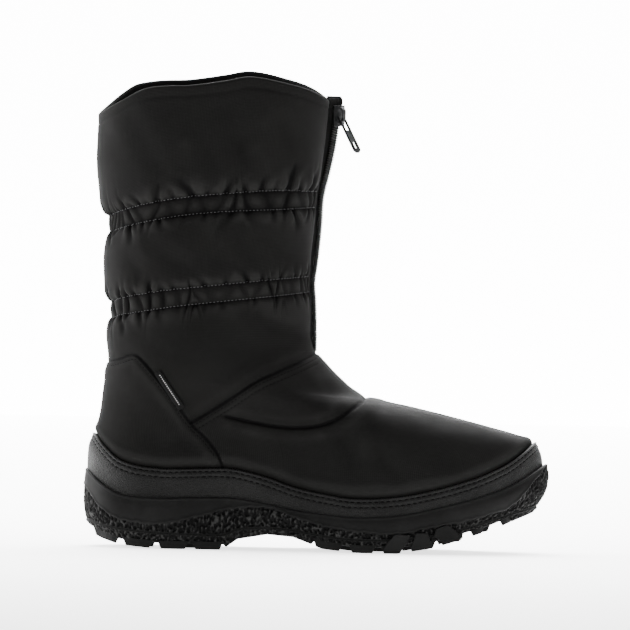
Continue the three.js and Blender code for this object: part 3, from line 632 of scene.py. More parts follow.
shaft_share = np.linspace(0, 1, SHAFT_ROWS)[:, None]
even_turn = np.linspace(-1, 1, SHAFT_COLUMNS)[None, :]
shaft_row = mix(first_leg_row(even_turn * math.pi * 0.95), COLLAR_ROW, shaft_share)
shaft_turn = even_turn * (math.pi - slot_turn(shaft_row))
shaft_row = mix(first_leg_row(shaft_turn[:1]), COLLAR_ROW, shaft_share)
shaft_base = upper_face(shaft_row, shaft_turn)
collar_rise = np.where(
    shaft_turn < 0, smooth_column(COLLAR_SHAPE, "x", "inner", shaft_base[..., 0]),
    smooth_column(COLLAR_SHAPE, "x", "outer", shaft_base[..., 0]))
collar_rows_up = COLLAR_ROW - COLLAR_SHAPE_FROM
shaft_base[..., 2] += collar_rise * np.clip(
    shaft_row - COLLAR_SHAPE_FROM, 0, collar_rows_up) / collar_rows_up
shaft_normal = upper_normal(shaft_row, shaft_turn)
shaft_relief = leg_relief(shaft_base[..., 0], shaft_base[..., 2], shaft_turn)
edge_gap = (math.pi - slot_turn(shaft_row) - np.abs(shaft_turn)) * LEG_ROUND
shaft_relief = shaft_relief * (1 - SLOT_EDGE_STIFF * np.exp(-edge_gap / SLOT_EDGE_REACH))
shaft_relief = shaft_relief + ridge((COLLAR_ROW - shaft_row) * COLLAR_ROW_HEIGHT, *COLLAR_GROOVE)
too_deep = np.maximum(DEEPEST_CREASE - shaft_relief, 0)
shaft_relief = shaft_relief + too_deep - DEEPEST_SOFTNESS * (
    1 - np.exp(-too_deep / DEEPEST_SOFTNESS))
shaft_points = shaft_base + shaft_normal * shaft_relief[..., None]


def roll_columns(points, normals, depth):
    """Turns the two side edges of a grid inwards in a half round."""
    left = []
    right = []
    for angle in np.linspace(math.pi, 0, EDGE_ROLL_STEPS + 1)[:-1]:
        for edge, beside, store in ((0, 1, left), (-1, -2, right)):
            outward = points[:, edge] - points[:, beside]
            outward = outward / np.maximum(np.linalg.norm(outward, axis=-1, keepdims=True), 1e-9)
            radius = depth[:, None] / 2
            store.append(points[:, edge] + outward * radius * math.sin(angle)
                         - normals[:, edge] * radius * (1 - math.cos(angle)))
    left = np.stack(left, axis=1)
    right = np.stack(right[::-1], axis=1)
    return np.concatenate([left, points, right], axis=1)


def collar_rows(points, normals, row_up):
    """The rolled collar and the facing that runs down inside it."""
    rows = []
    for k in range(1, COLLAR_ROLL_STEPS + 1):
        angle = math.pi * k / COLLAR_ROLL_STEPS
        rows.append(points - normals * COLLAR_ROLL * (1 - math.cos(angle))
                    + row_up * COLLAR_ROLL * math.sin(angle))
    for drop in FACING_DROPS:
        rows.append(points - normals * UPPER_WALL - row_up * drop)
    return np.stack(rows)


collar_up = shaft_base[-1] - shaft_base[-3]
collar_up = collar_up / np.linalg.norm(collar_up, axis=-1, keepdims=True)
rolled = collar_rows(shaft_points[-1], shaft_normal[-1], collar_up)
leg_points = np.concatenate([shaft_points, rolled], axis=0)
leg_normals = np.concatenate([shaft_normal, np.repeat(shaft_normal[-1:], len(rolled), 0)], axis=0)
roll_angles = np.pi * np.arange(1, COLLAR_ROLL_STEPS + 1) / COLLAR_ROLL_STEPS
roll_depth = np.concatenate([np.full(SHAFT_ROWS, UPPER_WALL),
                             UPPER_WALL * (1 + np.cos(roll_angles)) / 2,
                             np.zeros(len(FACING_DROPS))])
shaft_grid = roll_columns(leg_points, leg_normals, np.maximum(roll_depth, LEAST_ROLL))
shaft_crease = np.zeros(shaft_grid.shape[:2])
shaft_crease[:SHAFT_ROWS, EDGE_ROLL_STEPS:-EDGE_ROLL_STEPS] = crease_depth(shaft_relief)
shaft = grid_object("shaft", shaft_grid, surface_uv(shaft_grid),
                    attributes={"crease": shaft_crease})
shaft.data.materials.append(nylon_material("shaft_nylon", []))
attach(shaft, "boot")

# Foot of the upper. Below the lower band the nylon is cut as a leg, a heel panel, an instep
# panel and a vamp. The heel and instep panels lie on the leg with folded edges, and the vamp
# meets the instep panel in a plain seam.
FOOT_ROWS = 168
FOOT_COLUMNS = 520
FOOT_FIRST_ROW = 0.8
FOOT_CROWDING = 0.11
SLOT_BOTTOM = 121.5
SLOT_END_ROUND = 3.0
FOOT_PADDING = 0.8
PANEL_LIFT = 0.75
HEEL_EDGE = [(-146, 108), (-128.3, 113.6), (-121.4, 116), (-114, 118.7), (-109.8, 116.7),
             (-100, 105.7), (-89.1, 92.2), (-78.2, 77.5), (-68.5, 68.2), (-61.9, 59.8),
             (-58.1, 51.4), (-55, 40)]
INSTEP_EDGE = [(-79.5, 76.6), (-70, 82.6), (-62.5, 87.4), (-52, 94.5), (-38.4, 103.8),
               (-25.8, 109.6), (-14, 114.6), (-2.7, 120.0), (8, 125)]
VAMP_EDGE = [(-62, 83.6), (-46.4, 80.2), (-30.5, 77.3), (-14.5, 76.1), (1.3, 77.9),
             (13.8, 83), (20.6, 87.4), (28.3, 93.1), (36, 100)]
# What lies beside each seam, as where it is, how wide and how high: the groove of the seam, the
# grooves of its stitch rows, and the roll of padding next to it.
HEEL_RIDGES = [(0, 0.9, -0.55), (5, 3, 0.5), (2.3, 0.7, -0.30)]
INSTEP_RIDGES = [(0, 1.0, -0.75), (2.0, 0.7, -0.30), (5.0, 0.7, -0.30), (-6, 4, 0.55)]
VAMP_RIDGES = [(0, 1.2, -1.15), (6, 4, 0.55)]
OVER_RAND_ROLL = (5, 3.5, 0.7)
RAND_EDGE_GROOVE = (0, 1.2, -0.4)
FAR_FROM_SEAM = 9.0


def smooth_path(points, count):
    """A smooth open curve through a few points, as count points."""
    points = np.asarray(points, dtype=float)
    steps = np.linalg.norm(np.diff(points, axis=0), axis=1)
    table = {"at": np.concatenate([[0], np.cumsum(steps)])}
    at = np.linspace(0, table["at"][-1], count)
    for k in range(points.shape[1]):
        table[k] = points[:, k]
    return np.stack([smooth_column(table, "at", k, at) for k in range(points.shape[1])], axis=-1)


def edge_distance(path, x, z):
    """Signed distance from a seam's path in the side view: positive on its right, going on."""
    path = smooth_path(path, 160)
    flat_x, flat_z = x.reshape(-1), z.reshape(-1)
    best = np.full(flat_x.shape, 1e9)
    signed = np.zeros(flat_x.shape)
    share = np.zeros(flat_x.shape)
    for k in range(len(path) - 1):
        ax, az = path[k + 1] - path[k]
        px, pz = flat_x - path[k, 0], flat_z - path[k, 1]
        t = np.clip((px * ax + pz * az) / (ax * ax + az * az), 0, 1)
        gap = np.hypot(px - t * ax, pz - t * az)
        nearer = gap < best
        best = np.where(nearer, gap, best)
        turn_sign = np.sign(pz * ax - px * az)
        signed = np.where(nearer, -turn_sign * gap, signed)
        share = np.where(nearer, (k + t) / (len(path) - 1), share)
    return signed.reshape(x.shape), share.reshape(x.shape)


def snap_to_edge(row, turn, path, reach):
    """Moves the grid's points that lie next to a seam onto it."""
    face = upper_face(row, turn)
    x, z = face[..., 0], face[..., 2]
    gap, _ = edge_distance(path, x, z)
    step = 0.15
    gap_x, _ = edge_distance(path, x + step, z)
    gap_z, _ = edge_distance(path, x, z + step)
    slope_x, slope_z = (gap_x - gap) / step, (gap_z - gap) / step
    dr, dt = 0.01, 0.002
    by_row = (upper_face(row + dr, turn) - face) / dr
    by_turn = (upper_face(row, turn + dt) - face) / dt
    gap_row = slope_x * by_row[..., 0] + slope_z * by_row[..., 2]
    gap_turn = slope_x * by_turn[..., 0] + slope_z * by_turn[..., 2]
    row_size = np.gradient(row, axis=0)
    turn_size = np.gradient(turn, axis=1)
    rate_row, rate_turn = gap_row * row_size, gap_turn * turn_size
    total = rate_row**2 + rate_turn**2 + 1e-9
    move_row = -gap * rate_row / total * row_size
    move_turn = -gap * rate_turn / total * turn_size
    cells = np.hypot(move_row / row_size, move_turn / turn_size)
    near = (cells < reach) & (np.abs(gap) < 2.5)
    return row + np.where(near, move_row, 0), turn + np.where(near, move_turn, 0)


def ridges(distance, rows):
    """The sum of several ridges and grooves over one distance."""
    return sum(ridge(distance, *row) for row in rows)


def merge_close(thing, distance=1e-6):
    work = bmesh.new()
    work.from_mesh(thing.data)
    bmesh.ops.remove_doubles(work, verts=work.verts, dist=distance)
    work.to_mesh(thing.data)
    work.free()


def slot_opening(row):
    """How far open the slot is at each row: nought below its lower end and one above it."""
    return round_end(smooth_column(ROWS, "row", "frontZ", row) - SLOT_BOTTOM, SLOT_END_ROUND)


def close_front(points, opening):
    """Joins a grid's two side edges where the slot isn't open."""
    points[:, 0, :] = np.where(opening[:, :1] < 1e-6, points[:, -1, :], points[:, 0, :])


foot_even = np.linspace(-1, 1, FOOT_COLUMNS)[None, :]
foot_even = foot_even + FOOT_CROWDING * np.sin(2 * math.pi * foot_even) / math.pi
foot_share = np.linspace(0, 1, FOOT_ROWS)[:, None]
foot_row = mix(FOOT_FIRST_ROW, first_leg_row(foot_even * math.pi * 0.95), foot_share)
foot_opening = slot_opening(foot_row)
foot_turn = foot_even * (math.pi - slot_turn(foot_row) * foot_opening)
foot_row = mix(FOOT_FIRST_ROW, first_leg_row(foot_turn[-1:]), foot_share)
for seam in (HEEL_EDGE, INSTEP_EDGE, VAMP_EDGE):
    foot_row, foot_turn = snap_to_edge(foot_row, foot_turn, seam, 0.5)
foot_base = upper_face(foot_row, foot_turn)
foot_normal = upper_normal(foot_row, foot_turn)
foot_x, foot_z = foot_base[..., 0], foot_base[..., 2]
heel_gap, _ = edge_distance(HEEL_EDGE, foot_x, foot_z)
instep_gap, _ = edge_distance(INSTEP_EDGE, foot_x, foot_z)
vamp_gap, vamp_share = edge_distance(VAMP_EDGE, foot_x, foot_z)
on_heel = step_up(heel_gap)
off_heel = 1 - on_heel
on_foot = step_up(instep_gap) * off_heel
vamp_ends = np.clip(vamp_share / 0.08, 0, 1)
over_rand = foot_z - side_height("rand", foot_x)
foot_relief = leg_relief(foot_x, foot_z, foot_turn) * FOOT_PADDING
foot_relief = foot_relief + PANEL_LIFT * np.maximum(on_heel, on_foot)
foot_relief = foot_relief + ridges(heel_gap, HEEL_RIDGES)
foot_relief = foot_relief + ridges(instep_gap, INSTEP_RIDGES) * off_heel
foot_relief = foot_relief + ridges(np.abs(vamp_gap), VAMP_RIDGES) * vamp_ends
foot_relief = foot_relief * step_up(over_rand - 2.0, 7.0) + ridge(over_rand, *OVER_RAND_ROLL)
foot_relief = foot_relief + ridge(np.maximum(over_rand, 0), *RAND_EDGE_GROOVE)
foot_points = foot_base + foot_normal * foot_relief[..., None]
close_front(foot_points, foot_opening)
foot = grid_object("foot", foot_points, surface_uv(foot_points), attributes={
    "crease": crease_depth(foot_relief),
    "heel_edge": heel_gap,
    "instep_edge": np.where(heel_gap < 0.2, instep_gap, FAR_FROM_SEAM),
    "vamp_edge": np.where(vamp_ends > 0.5, vamp_gap, FAR_FROM_SEAM)})
merge_close(foot)
foot.data.materials.append(
    nylon_material("foot_nylon", ["heel_edge", "instep_edge", "vamp_edge"]))
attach(foot, "boot")
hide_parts("upper")

# Lining. Short dark fleece, sewn to the facing inside the collar and down to the insole. It
# stays behind the shell by the wall's thickness, and nearer to it at the collar.
LINING_ROWS = 90
LINING_COLUMNS = 220
LINING_FROM_ROW = 0.1
LINING_TO_ROW = 19.5
LINING_DEPTH = UPPER_WALL - 0.1
LINING_RIPPLE = 0.25
LINING_TOP_FROM = 18.4
LINING_TOP_RISE = 1.4
FLEECE = (0.02, 0.02, 0.02, 1)
FLEECE_DARK = (0.005, 0.005, 0.005, 1)
FLEECE_LIGHT = (0.018, 0.018, 0.018, 1)


def fibre_tones(tree, shader, fibre, dark, light, spread=None):
    """Colours a material between two tones by a height or noise, over a spread of its values."""
    if spread:
        fibre = fade(tree, fibre, *spread, 0.0, 1.0)
    tree.links.new(mix_colour(tree, fibre, dark, light), shader.inputs["Base Color"])


lining_share = np.linspace(0, 1, LINING_ROWS)[:, None]
lining_turn = np.linspace(-1, 1, LINING_COLUMNS)[None, :]
lining_row = mix(LINING_FROM_ROW, LINING_TO_ROW, lining_share) + 0 * lining_turn
lining_opening = slot_opening(lining_row)
lining_turn = lining_turn * (math.pi - slot_turn(lining_row) * lining_opening)
lining_depth = LINING_DEPTH + LINING_RIPPLE * np.sin(lining_turn * 7 + lining_row * 2.1)
lining_depth = lining_depth - LINING_TOP_RISE * np.clip(
    (lining_row - LINING_TOP_FROM) / 0.5, 0, 1)
lining_points = (upper_face(lining_row, lining_turn)
                 - upper_normal(lining_row, lining_turn) * lining_depth[..., None])
close_front(lining_points, lining_opening)
lining = grid_object("lining", lining_points[:, ::-1], surface_uv(lining_points))
merge_close(lining)
fleece, fleece_tree, fleece_shader = new_material("fleece", FLEECE, 0.95, specular=0.06)
add_sheen(fleece_shader, 0.06, 0.6)
pile = object_noise(fleece_tree, 420, 5)
fibre_tones(fleece_tree, fleece_shader, pile, FLEECE_DARK, FLEECE_LIGHT, (0.35, 0.7))
add_bump(fleece_tree, fleece_shader, [(pile, 0.9, 0.0009)])
lining.data.materials.append(fleece)
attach(lining, "boot")

# Insole. A felt pad that lies loose on the cup's floor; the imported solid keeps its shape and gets
# its felt here.
FELT = (0.03, 0.03, 0.029, 1)
FELT_DARK = (0.020, 0.020, 0.019, 1)
FELT_LIGHT = (0.05, 0.05, 0.048, 1)
felt, felt_tree, felt_shader = new_material("felt", FELT, 0.95, specular=0.06)
fibre = object_noise(felt_tree, 600, 5)
fibre_tones(felt_tree, felt_shader, fibre, FELT_DARK, FELT_LIGHT, (0.3, 0.7))
add_bump(felt_tree, felt_shader, [(fibre, 0.7, 0.0006)])
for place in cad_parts["insole"].material_slots:
    place.material = felt

# Rand. A strip of grained black synthetic leather round the foot, its upper edge bound in a
# thin bead and held by two rows of stitches, its lower edge tucked behind the rim of the sole.
RAND_ROWS = 44
RAND_COLUMNS = 900
RAND_OFFSET = 2.15
RAND_TUCK = 1.2
RAND_STITCH_DROPS = (2.0, 5.2)
# Down from the upper edge: the bead, the swell between the stitch rows, the fullness under them,
# and the grooves of the stitches.
RAND_RIDGES = [(0.55, 0.5, 0.42), (3.6, 0.9, 0.22), (9.5, 4.5, 0.35)]
RAND_RIDGES += [(drop, 0.55, -0.42) for drop in RAND_STITCH_DROPS]
RAND_RIPPLE = 0.10
RAND_EDGE_TURN = 0.9
LEATHER = (0.0125, 0.0125, 0.0120, 1)
LEATHER_GROOVE = (0.0020, 0.0020, 0.0019, 1)
LEATHER_CELL = (0.0056, 0.0056, 0.0054, 1)
LEATHER_RUBBED = (0.0076, 0.0076, 0.0073, 1)
LEATHER_GRAIN_SCALE = 820


def leather_material(name):
    material, tree, shader = new_material(name, LEATHER, 0.45, specular=0.08)
    place = add_node(tree, "ShaderNodeTexCoord").outputs["Object"]
    cells = add_node(tree, "ShaderNodeTexVoronoi", {
        "Vector": place, "Scale": LEATHER_GRAIN_SCALE}, feature="DISTANCE_TO_EDGE")
    small = object_noise(tree, LEATHER_GRAIN_SCALE * 0.8, 3)
    broad = object_noise(tree, 34, 3)
    grain = fade(tree, cells.outputs["Distance"], 0.0, 0.28, 0.0, 1.0)
    colour = mix_colour(tree, maths(tree, "MULTIPLY", grain, 0.9), LEATHER_GROOVE, LEATHER_CELL)
    colour = mix_colour(tree, fade(tree, broad, 0.35, 0.7, 0.0, 0.5), colour, LEATHER_RUBBED)
    tree.links.new(colour, shader.inputs["Base Color"])
    rough = maths(tree, "MULTIPLY_ADD", small, 0.24, 0.36)
    tree.links.new(rough, shader.inputs["Roughness"])
    add_bump(tree, shader, [(grain, 0.8, 0.00026), (small, 0.4, 0.0003), (broad, 0.2, 0.0010)])
    return material


rand_turn = np.linspace(-math.pi, math.pi, RAND_COLUMNS, endpoint=False)[None, :]
rand_low = row_at_height(lambda x: side_height("rim", x) - RAND_TUCK, rand_turn)
rand_top = row_at_height(lambda x: side_height("rand", x), rand_turn)
rand_share = np.linspace(0, 1, RAND_ROWS)[:, None]
rand_row = mix(rand_low, rand_top, rand_share)
rand_face = upper_face(rand_row, rand_turn)
rand_normal = upper_normal(rand_row, rand_turn)
below_edge = side_height("rand", rand_face[..., 0]) - rand_face[..., 2]
rand_stand = RAND_OFFSET + ridges(below_edge, RAND_RIDGES)
rand_stand += RAND_RIPPLE * np.sin(rand_turn * 23 + 2 * np.sin(rand_turn * 5)) * np.clip(
    below_edge / 6, 0, 1)
rand_stand -= RAND_EDGE_TURN * np.exp(-np.maximum(below_edge, 0) / 0.16)
rand_outer = rand_face + rand_normal * rand_stand[..., None]
rand_inner = rand_face[-1] + rand_normal[-1] * 0.15
rand_hidden = rand_face[0] + rand_normal[0] * 0.3
rand_points = np.concatenate([rand_hidden[None], rand_outer, rand_inner[None]])
rand = grid_object("rand_strip", rand_points, closed=True)
rand.data.materials.append(leather_material("rand_hide"))
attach(rand, "boot")
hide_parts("rand")

# Midsole. A moulded black rubber cup. Its wall is smooth under the rim and has a rough bark
# relief below, which is sunk a little behind the smooth part.
SOLE_COLUMNS = 1300
WALL_ROWS = 58
WALL_FROM_SHARE = 0.02
MIDSOLE_RINGS = {
    "share": [0.02, 0.34, 0.7, 1.0],
    "backX": [-141.6, -143.3, -143.1, -142.2],
    "frontX": [136.0, 141.6, 143.3, 141.6],
    "inset": [1.6, 0.2, 0.0, 0.9],
}
HEEL_ROUNDING = 38
TOE_ROUNDING = 75
BARK_SINK = 0.9
BARK_HEIGHT = 0.8
BARK_BELOW_RIM = 1.5
BARK_OVER_JOINT = 1.1
EVEN_AT_SHARE = 0.7
# The swollen lip over the bark, the groove at the joint with the outsole, and the rim's bead.
BARK_LIP = (-1.0, 0.9, 0.35)
JOINT_GROOVE = (0.5, 0.45, -0.55)
RIM_BEAD = (0.9, 0.6, 0.25)
RIM_EDGE_TURN = 0.8
CAP_DROP = 0.4
RUBBER = (0.0034, 0.0034, 0.0033, 1)
RUBBER_PALE = 2.4
RUBBER_PIT_SHADE = (0.0008, 0.0008, 0.0008, 1)
RUBBER_FLECK_HIGHLIGHT = (0.0180, 0.0180, 0.0175, 1)


def sole_plan(rings, share, turn):
    """A point of a sole wall seen from above, at a share of the way up the wall."""
    back = smooth_column(rings, "share", "backX", share)
    front = smooth_column(rings, "share", "frontX", share)
    x = mix(back, front, (1 - np.cos(turn)) / 2)
    half = smooth_column(PLAN, "x", "half", x) - smooth_column(rings, "share", "inset", share)
    ends = round_end(x - back, HEEL_ROUNDING) * round_end(front - x, TOE_ROUNDING)
    y = smooth_column(PLAN, "x", "centre", x) - np.sign(np.sin(turn)) * half * ends
    return x, y


def plan_outward(x, y):
    """Directions square to a closed loop of plan points, pointing out of it."""
    along_x = np.roll(x, -1, axis=-1) - np.roll(x, 1, axis=-1)
    along_y = np.roll(y, -1, axis=-1) - np.roll(y, 1, axis=-1)
    size = np.maximum(np.hypot(along_x, along_y), 1e-9)
    return along_y / size, -along_x / size


def speckle(x, y, z, scale, stretch):
    """Smooth noise at each point, drawn out along the height by a stretch."""
    flat = np.stack([x * scale, y * scale, z * scale / stretch], axis=-1).reshape(-1, 3)
    return np.array([noise(Vector(point)) for point in flat]).reshape(x.shape)


def bark_relief(x, y, z):
    """The bark's own relief, from -1 in its pits to 1 on its flecks."""
    coarse = speckle(x, y, z, 0.75, 2.0)
    fine = speckle(x + 40, y, z, 1.15, 1.8)
    return np.clip(coarse * 2.4 + fine * 1.4, -1.0, 1.0)


def bark_painted_light(rough, relief):
    """How deep in the bark each point lies, for painted shade in its pits and painted highlights on
    its flecks.
    """
    return rough * (0.5 - 0.9 * relief)


def even_turns(count):
    """Turns that give points about equally far apart round the sole."""
    fine = np.linspace(-math.pi, math.pi, 6001)
    x, y = sole_plan(MIDSOLE_RINGS, np.full_like(fine, EVEN_AT_SHARE), fine)
    length = np.concatenate([[0], np.cumsum(np.hypot(np.diff(x), np.diff(y)))])
    return np.interp(np.linspace(0, length[-1], count, endpoint=False), length, fine)[None, :]


def cap_rows(edge, height_at):
    """Two rows that close a loop of points by drawing it in to its middle line."""
    x = edge[:, 0]
    centre = smooth_column(PLAN, "x", "centre", x)
    return np.stack([np.stack([x, centre + (edge[:, 1] - centre) * share, height_at(x)], axis=-1)
                     for share in (0.5, 0.0)])


def rubber_material(name, colour, roughness):
    material, tree, shader = new_material(name, colour, roughness, specular=0.045)
    broad = object_noise(tree, 45, 4)
    fine = object_noise(tree, 1500, 3)
    dust = object_noise(tree, 160, 5)
    pale = tuple(RUBBER_PALE * channel for channel in colour[:3]) + (1,)
    shade = mix_colour(tree, fade(tree, broad, 0.35, 0.7, 0.0, 0.35), colour, pale)
    shade = mix_colour(tree, fade(tree, dust, 0.58, 0.74, 0.0, 0.35), shade, pale)
    # painted shade in the bark's pits and painted highlight on its proud flecks
    bark_light_mask = attribute(tree, "bark")
    shade = mix_colour(tree, fade(tree, bark_light_mask, 0.0, 1.2, 0.0, 0.95), shade, RUBBER_PIT_SHADE)
    shade = mix_colour(tree, fade(tree, bark_light_mask, -0.4, 0.0, 0.75, 0.0), shade, RUBBER_FLECK_HIGHLIGHT)
    tree.links.new(shade, shader.inputs["Base Color"])
    rough = maths(tree, "MULTIPLY_ADD", dust, 0.22, roughness - 0.11)
    tree.links.new(rough, shader.inputs["Roughness"])
    add_bump(tree, shader, [(fine, 0.22, 0.0001), (broad, 0.12, 0.0008)])
    return material


sole_turn = even_turns(SOLE_COLUMNS)
wall_share = np.linspace(0, 1, WALL_ROWS)[:, None]
sole_turn = np.broadcast_to(sole_turn, (WALL_ROWS, SOLE_COLUMNS))
wall_share = np.broadcast_to(wall_share, (WALL_ROWS, SOLE_COLUMNS))
wall_x, wall_y = sole_plan(
    MIDSOLE_RINGS, WALL_FROM_SHARE + (1 - WALL_FROM_SHARE) * wall_share, sole_turn)
wall_joint = side_height("joint", wall_x)
wall_rim = side_height("rim", wall_x)
wall_z = mix(wall_joint, wall_rim, wall_share)
bark_top = np.minimum(side_height("bark", wall_x), wall_rim - BARK_BELOW_RIM)
bark_top = bark_top + 0.25 * np.sin(wall_x * 0.9) + 0.2 * np.sin(wall_x * 0.37 + wall_y * 0.2)
into_bark = bark_top - wall_z
is_bark = step_up(into_bark, 1.0) * step_up(wall_z - wall_joint - BARK_OVER_JOINT, 0.7)
bark = bark_relief(wall_x, wall_y, wall_z)
wall_stand = (BARK_HEIGHT * bark - BARK_SINK) * is_bark + ridge(into_bark, *BARK_LIP)
wall_stand += ridge(wall_z - wall_joint, *JOINT_GROOVE)
below_rim = wall_rim - wall_z
wall_stand += ridge(below_rim, *RIM_BEAD) - RIM_EDGE_TURN * np.exp(-below_rim / 0.25)
out_x, out_y = plan_outward(wall_x, wall_y)
wall = np.stack([wall_x + out_x * wall_stand, wall_y + out_y * wall_stand, wall_z], axis=-1)
lip = upper_face(RIM_ROW, sole_turn[:1]) + upper_normal(RIM_ROW, sole_turn[:1]) * 0.6
lip[..., 2] = side_height("rim", lip[..., 0]) - 0.1
lip_middle = (wall[-1:] + lip) / 2
lip_middle[..., 2] += 0.35
cup_face = upper_face(0.0, sole_turn[:1]) + upper_normal(0.2, sole_turn[:1]) * 0.3
cup_face[..., 2] = side_height("floor", cup_face[..., 0]) - CAP_DROP
floor_cap = cap_rows(cup_face[0], lambda x: side_height("floor", x) - CAP_DROP)
under_cap = cap_rows(wall[0], lambda x: side_height("joint", x))[::-1]
midsole_points = np.concatenate([under_cap, wall, lip_middle, lip, cup_face, floor_cap])
# the bark's painted shade and highlight, for the rubber's colour
midsole_bark = np.zeros(midsole_points.shape[:2])
midsole_bark[len(under_cap):len(under_cap) + WALL_ROWS] = bark_painted_light(is_bark, bark)
midsole = grid_object("midsole_cup", midsole_points, closed=True,
                      attributes={"bark": midsole_bark})
merge_close(midsole)
midsole.data.materials.append(rubber_material("midsole_moulding", RUBBER, 0.58))
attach(midsole, "boot")
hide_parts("midsole")

# Outsole. One moulding of harder black rubber: a tread plate with a bark edge, and lugs along
# both edges and down its middle. The lugs' edges are rounded by the mould. Three wedges climb
# from the lugs on to the wall under the ball of the foot, on either side.
TREAD_DEPTH = 3.6
PLATE_ROWS = 26
PLATE_RINGS = {
    "share": [0.0, 1.0],
    "backX": [-138.6, -141.6],
    "frontX": [132.5, 136.4],
    "inset": [4.0, 1.5],
}
ARCH_FROM = -56.0
ARCH_TO = -1.5
TIP_FROM = 120.5
BLEND_TO_ARCH = 3.0
BLEND_TO_TIP = 1.5
BARE_RISE = 0.2
JOINT_LAP = 0.1
PLATE_BARK_HEIGHT = 0.6
PLATE_EDGE_TURN = 0.7
# Each lug's two ends along the boot, at its foot.
EDGE_LUGS = [(-135, -122.8), (-116.6, -102.2), (-95, -80.3), (-73.8, -58.8), (0.5, 14.7),
             (22.8, 35.2), (42.4, 52.4), (59.6, 72.4), (78.4, 89.6)]
MIDDLE_LUGS = [(-112, -100), (-90, -72), (8, 24), (32, 46), (54, 66), (76, 88), (97, 106)]
TIP_LUGS = [(97, 102), (115, 120)]
TIP_LUG_RISE = 0.4
EDGE_LUG_INNER = 15.0
MIDDLE_LUG_HALF = 10.0
# How far an edge lug's outer face stays inside the plan, and how much the foot of a lug is set
# in from its outer and inner faces. Its root reaches into the plate.
LUG_INSET = 2.6
LUG_FOOT_OUTER = 0.5
LUG_FOOT_INNER = 1.2
LUG_ROOT = TREAD_DEPTH + 1.4
LUG_DRAFT = 2.2
LUG_BEVEL = 0.8
# Faces larger than this many square millimetres stay flat where edges are rounded.
LARGE_FLAT = 10.0
SHARP_EDGE = math.radians(40)
# The corners of the wedges seen from the side, and how far they stand off the plan's outline,
# reach into the wall and draw in where they are low.
WEDGES = [
    [(41.8, 2.0), (53.5, 2.4), (58.6, 11.6), (49.2, 12.0), (44.2, 6.4)],
    [(58.9, 3.2), (72.4, 4.6), (69.0, 13.2), (62.0, 13.0)],
    [(79.0, 7.4), (88.6, 8.4), (91.0, 11.0), (81.4, 18.6), (74.4, 15.9), (73.0, 11.6)],
]
WEDGE_TOE = 139
WEDGE_STAND = 0.6
WEDGE_DEPTH = 6
WEDGE_LOW = 6
WEDGE_LOW_SET_IN = 2.2
TREAD_RUBBER = (0.0036, 0.0036, 0.0035, 1)


def plate_height(x):
    """The underside of the tread plate: a lug's depth up, but level with them where there are
    none, in the arch and at the tip of the toe."""
    in_arch = step_up(x - ARCH_FROM, BLEND_TO_ARCH) * step_up(ARCH_TO - x, BLEND_TO_ARCH)
    bare = np.maximum(in_arch, step_up(x - TIP_FROM, BLEND_TO_TIP))
    return side_height("tread", x) + mix(TREAD_DEPTH, BARE_RISE, bare)


plate_turn = np.broadcast_to(sole_turn[:1], (PLATE_ROWS, SOLE_COLUMNS))
plate_share = np.broadcast_to(np.linspace(0, 1, PLATE_ROWS)[:, None], plate_turn.shape)
plate_x, plate_y = sole_plan(PLATE_RINGS, plate_share, plate_turn)
plate_low = plate_height(plate_x)
plate_high = np.maximum(side_height("joint", plate_x) - JOINT_LAP, plate_low)
plate_z = mix(plate_low, plate_high, plate_share)
plate_bark = bark_relief(plate_x, plate_y, plate_z)
plate_rough = step_up(plate_share - 0.1, 0.15) * step_up(0.9 - plate_share, 0.15)
plate_stand = (PLATE_BARK_HEIGHT * plate_bark * plate_rough
               - PLATE_EDGE_TURN * np.exp(-plate_share / 0.06))
out_x, out_y = plan_outward(plate_x, plate_y)
plate = np.stack([plate_x + out_x * plate_stand, plate_y + out_y * plate_stand, plate_z], axis=-1)
plate_under = cap_rows(plate[0], plate_height)[::-1]
plate_over = cap_rows(plate[-1], lambda x: side_height("joint", x) - JOINT_LAP)
plate_points = np.concatenate([plate_under, plate, plate_over])
# the bark's painted shade and highlight, for the rubber's colour
plate_attribute = np.zeros(plate_points.shape[:2])
plate_attribute[len(plate_under):-len(plate_over)] = bark_painted_light(plate_rough, plate_bark)
outsole = grid_object("outsole_plate", plate_points, closed=True,
                      attributes={"bark": plate_attribute})
merge_close(outsole)
tread_rubber = rubber_material("tread_rubber", TREAD_RUBBER, 0.6)
outsole.data.materials.append(tread_rubber)
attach(outsole, "boot")
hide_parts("outsole")


def lug_edge(x, inset):
    """How far from the middle line the outer face of an edge lug stands."""
    half = smooth_column(PLAN, "x", "half", x) - inset
    return half * round_end(x - PLATE_RINGS["backX"][0], HEEL_ROUNDING) * round_end(
        PLATE_RINGS["frontX"][0] - x, TOE_ROUNDING)


def add_block(work, lower, upper):
    """A closed block between two outlines with the same corners."""
    low = [work.verts.new(Vector(p) * MM) for p in lower]
    high = [work.verts.new(Vector(p) * MM) for p in upper]
    work.faces.new(low[::-1])
    work.faces.new(high)
    for k in range(len(low)):
        after = (k + 1) % len(low)
        work.faces.new((low[k], low[after], high[after], high[k]))


def add_lug(work, x0, x1, near, far, side, rise=0.0):
    """One lug between two lines of the plan, near and far from the middle. x0 and x1 are the
    ends of its foot, and it widens towards its root."""
    foot_x = np.linspace(x0, x1, 5)
    foot_z = side_height("tread", foot_x) + rise
    root_x = np.linspace(x0 - LUG_DRAFT, x1 + LUG_DRAFT, 5)
    root_z = side_height("tread", root_x) + LUG_ROOT
    centre = smooth_column(PLAN, "x", "centre", root_x)
    outer = centre - side * far(root_x)
    inner = centre - side * near(root_x)
    lower = list(zip(foot_x, outer + side * LUG_FOOT_OUTER, foot_z))
    lower += list(zip(foot_x, inner - side * LUG_FOOT_INNER, foot_z))[::-1]
    upper = list(zip(root_x, outer, root_z)) + list(zip(root_x, inner, root_z))[::-1]
    if side < 0:
        lower, upper = lower[::-1], upper[::-1]
    add_block(work, lower, upper)


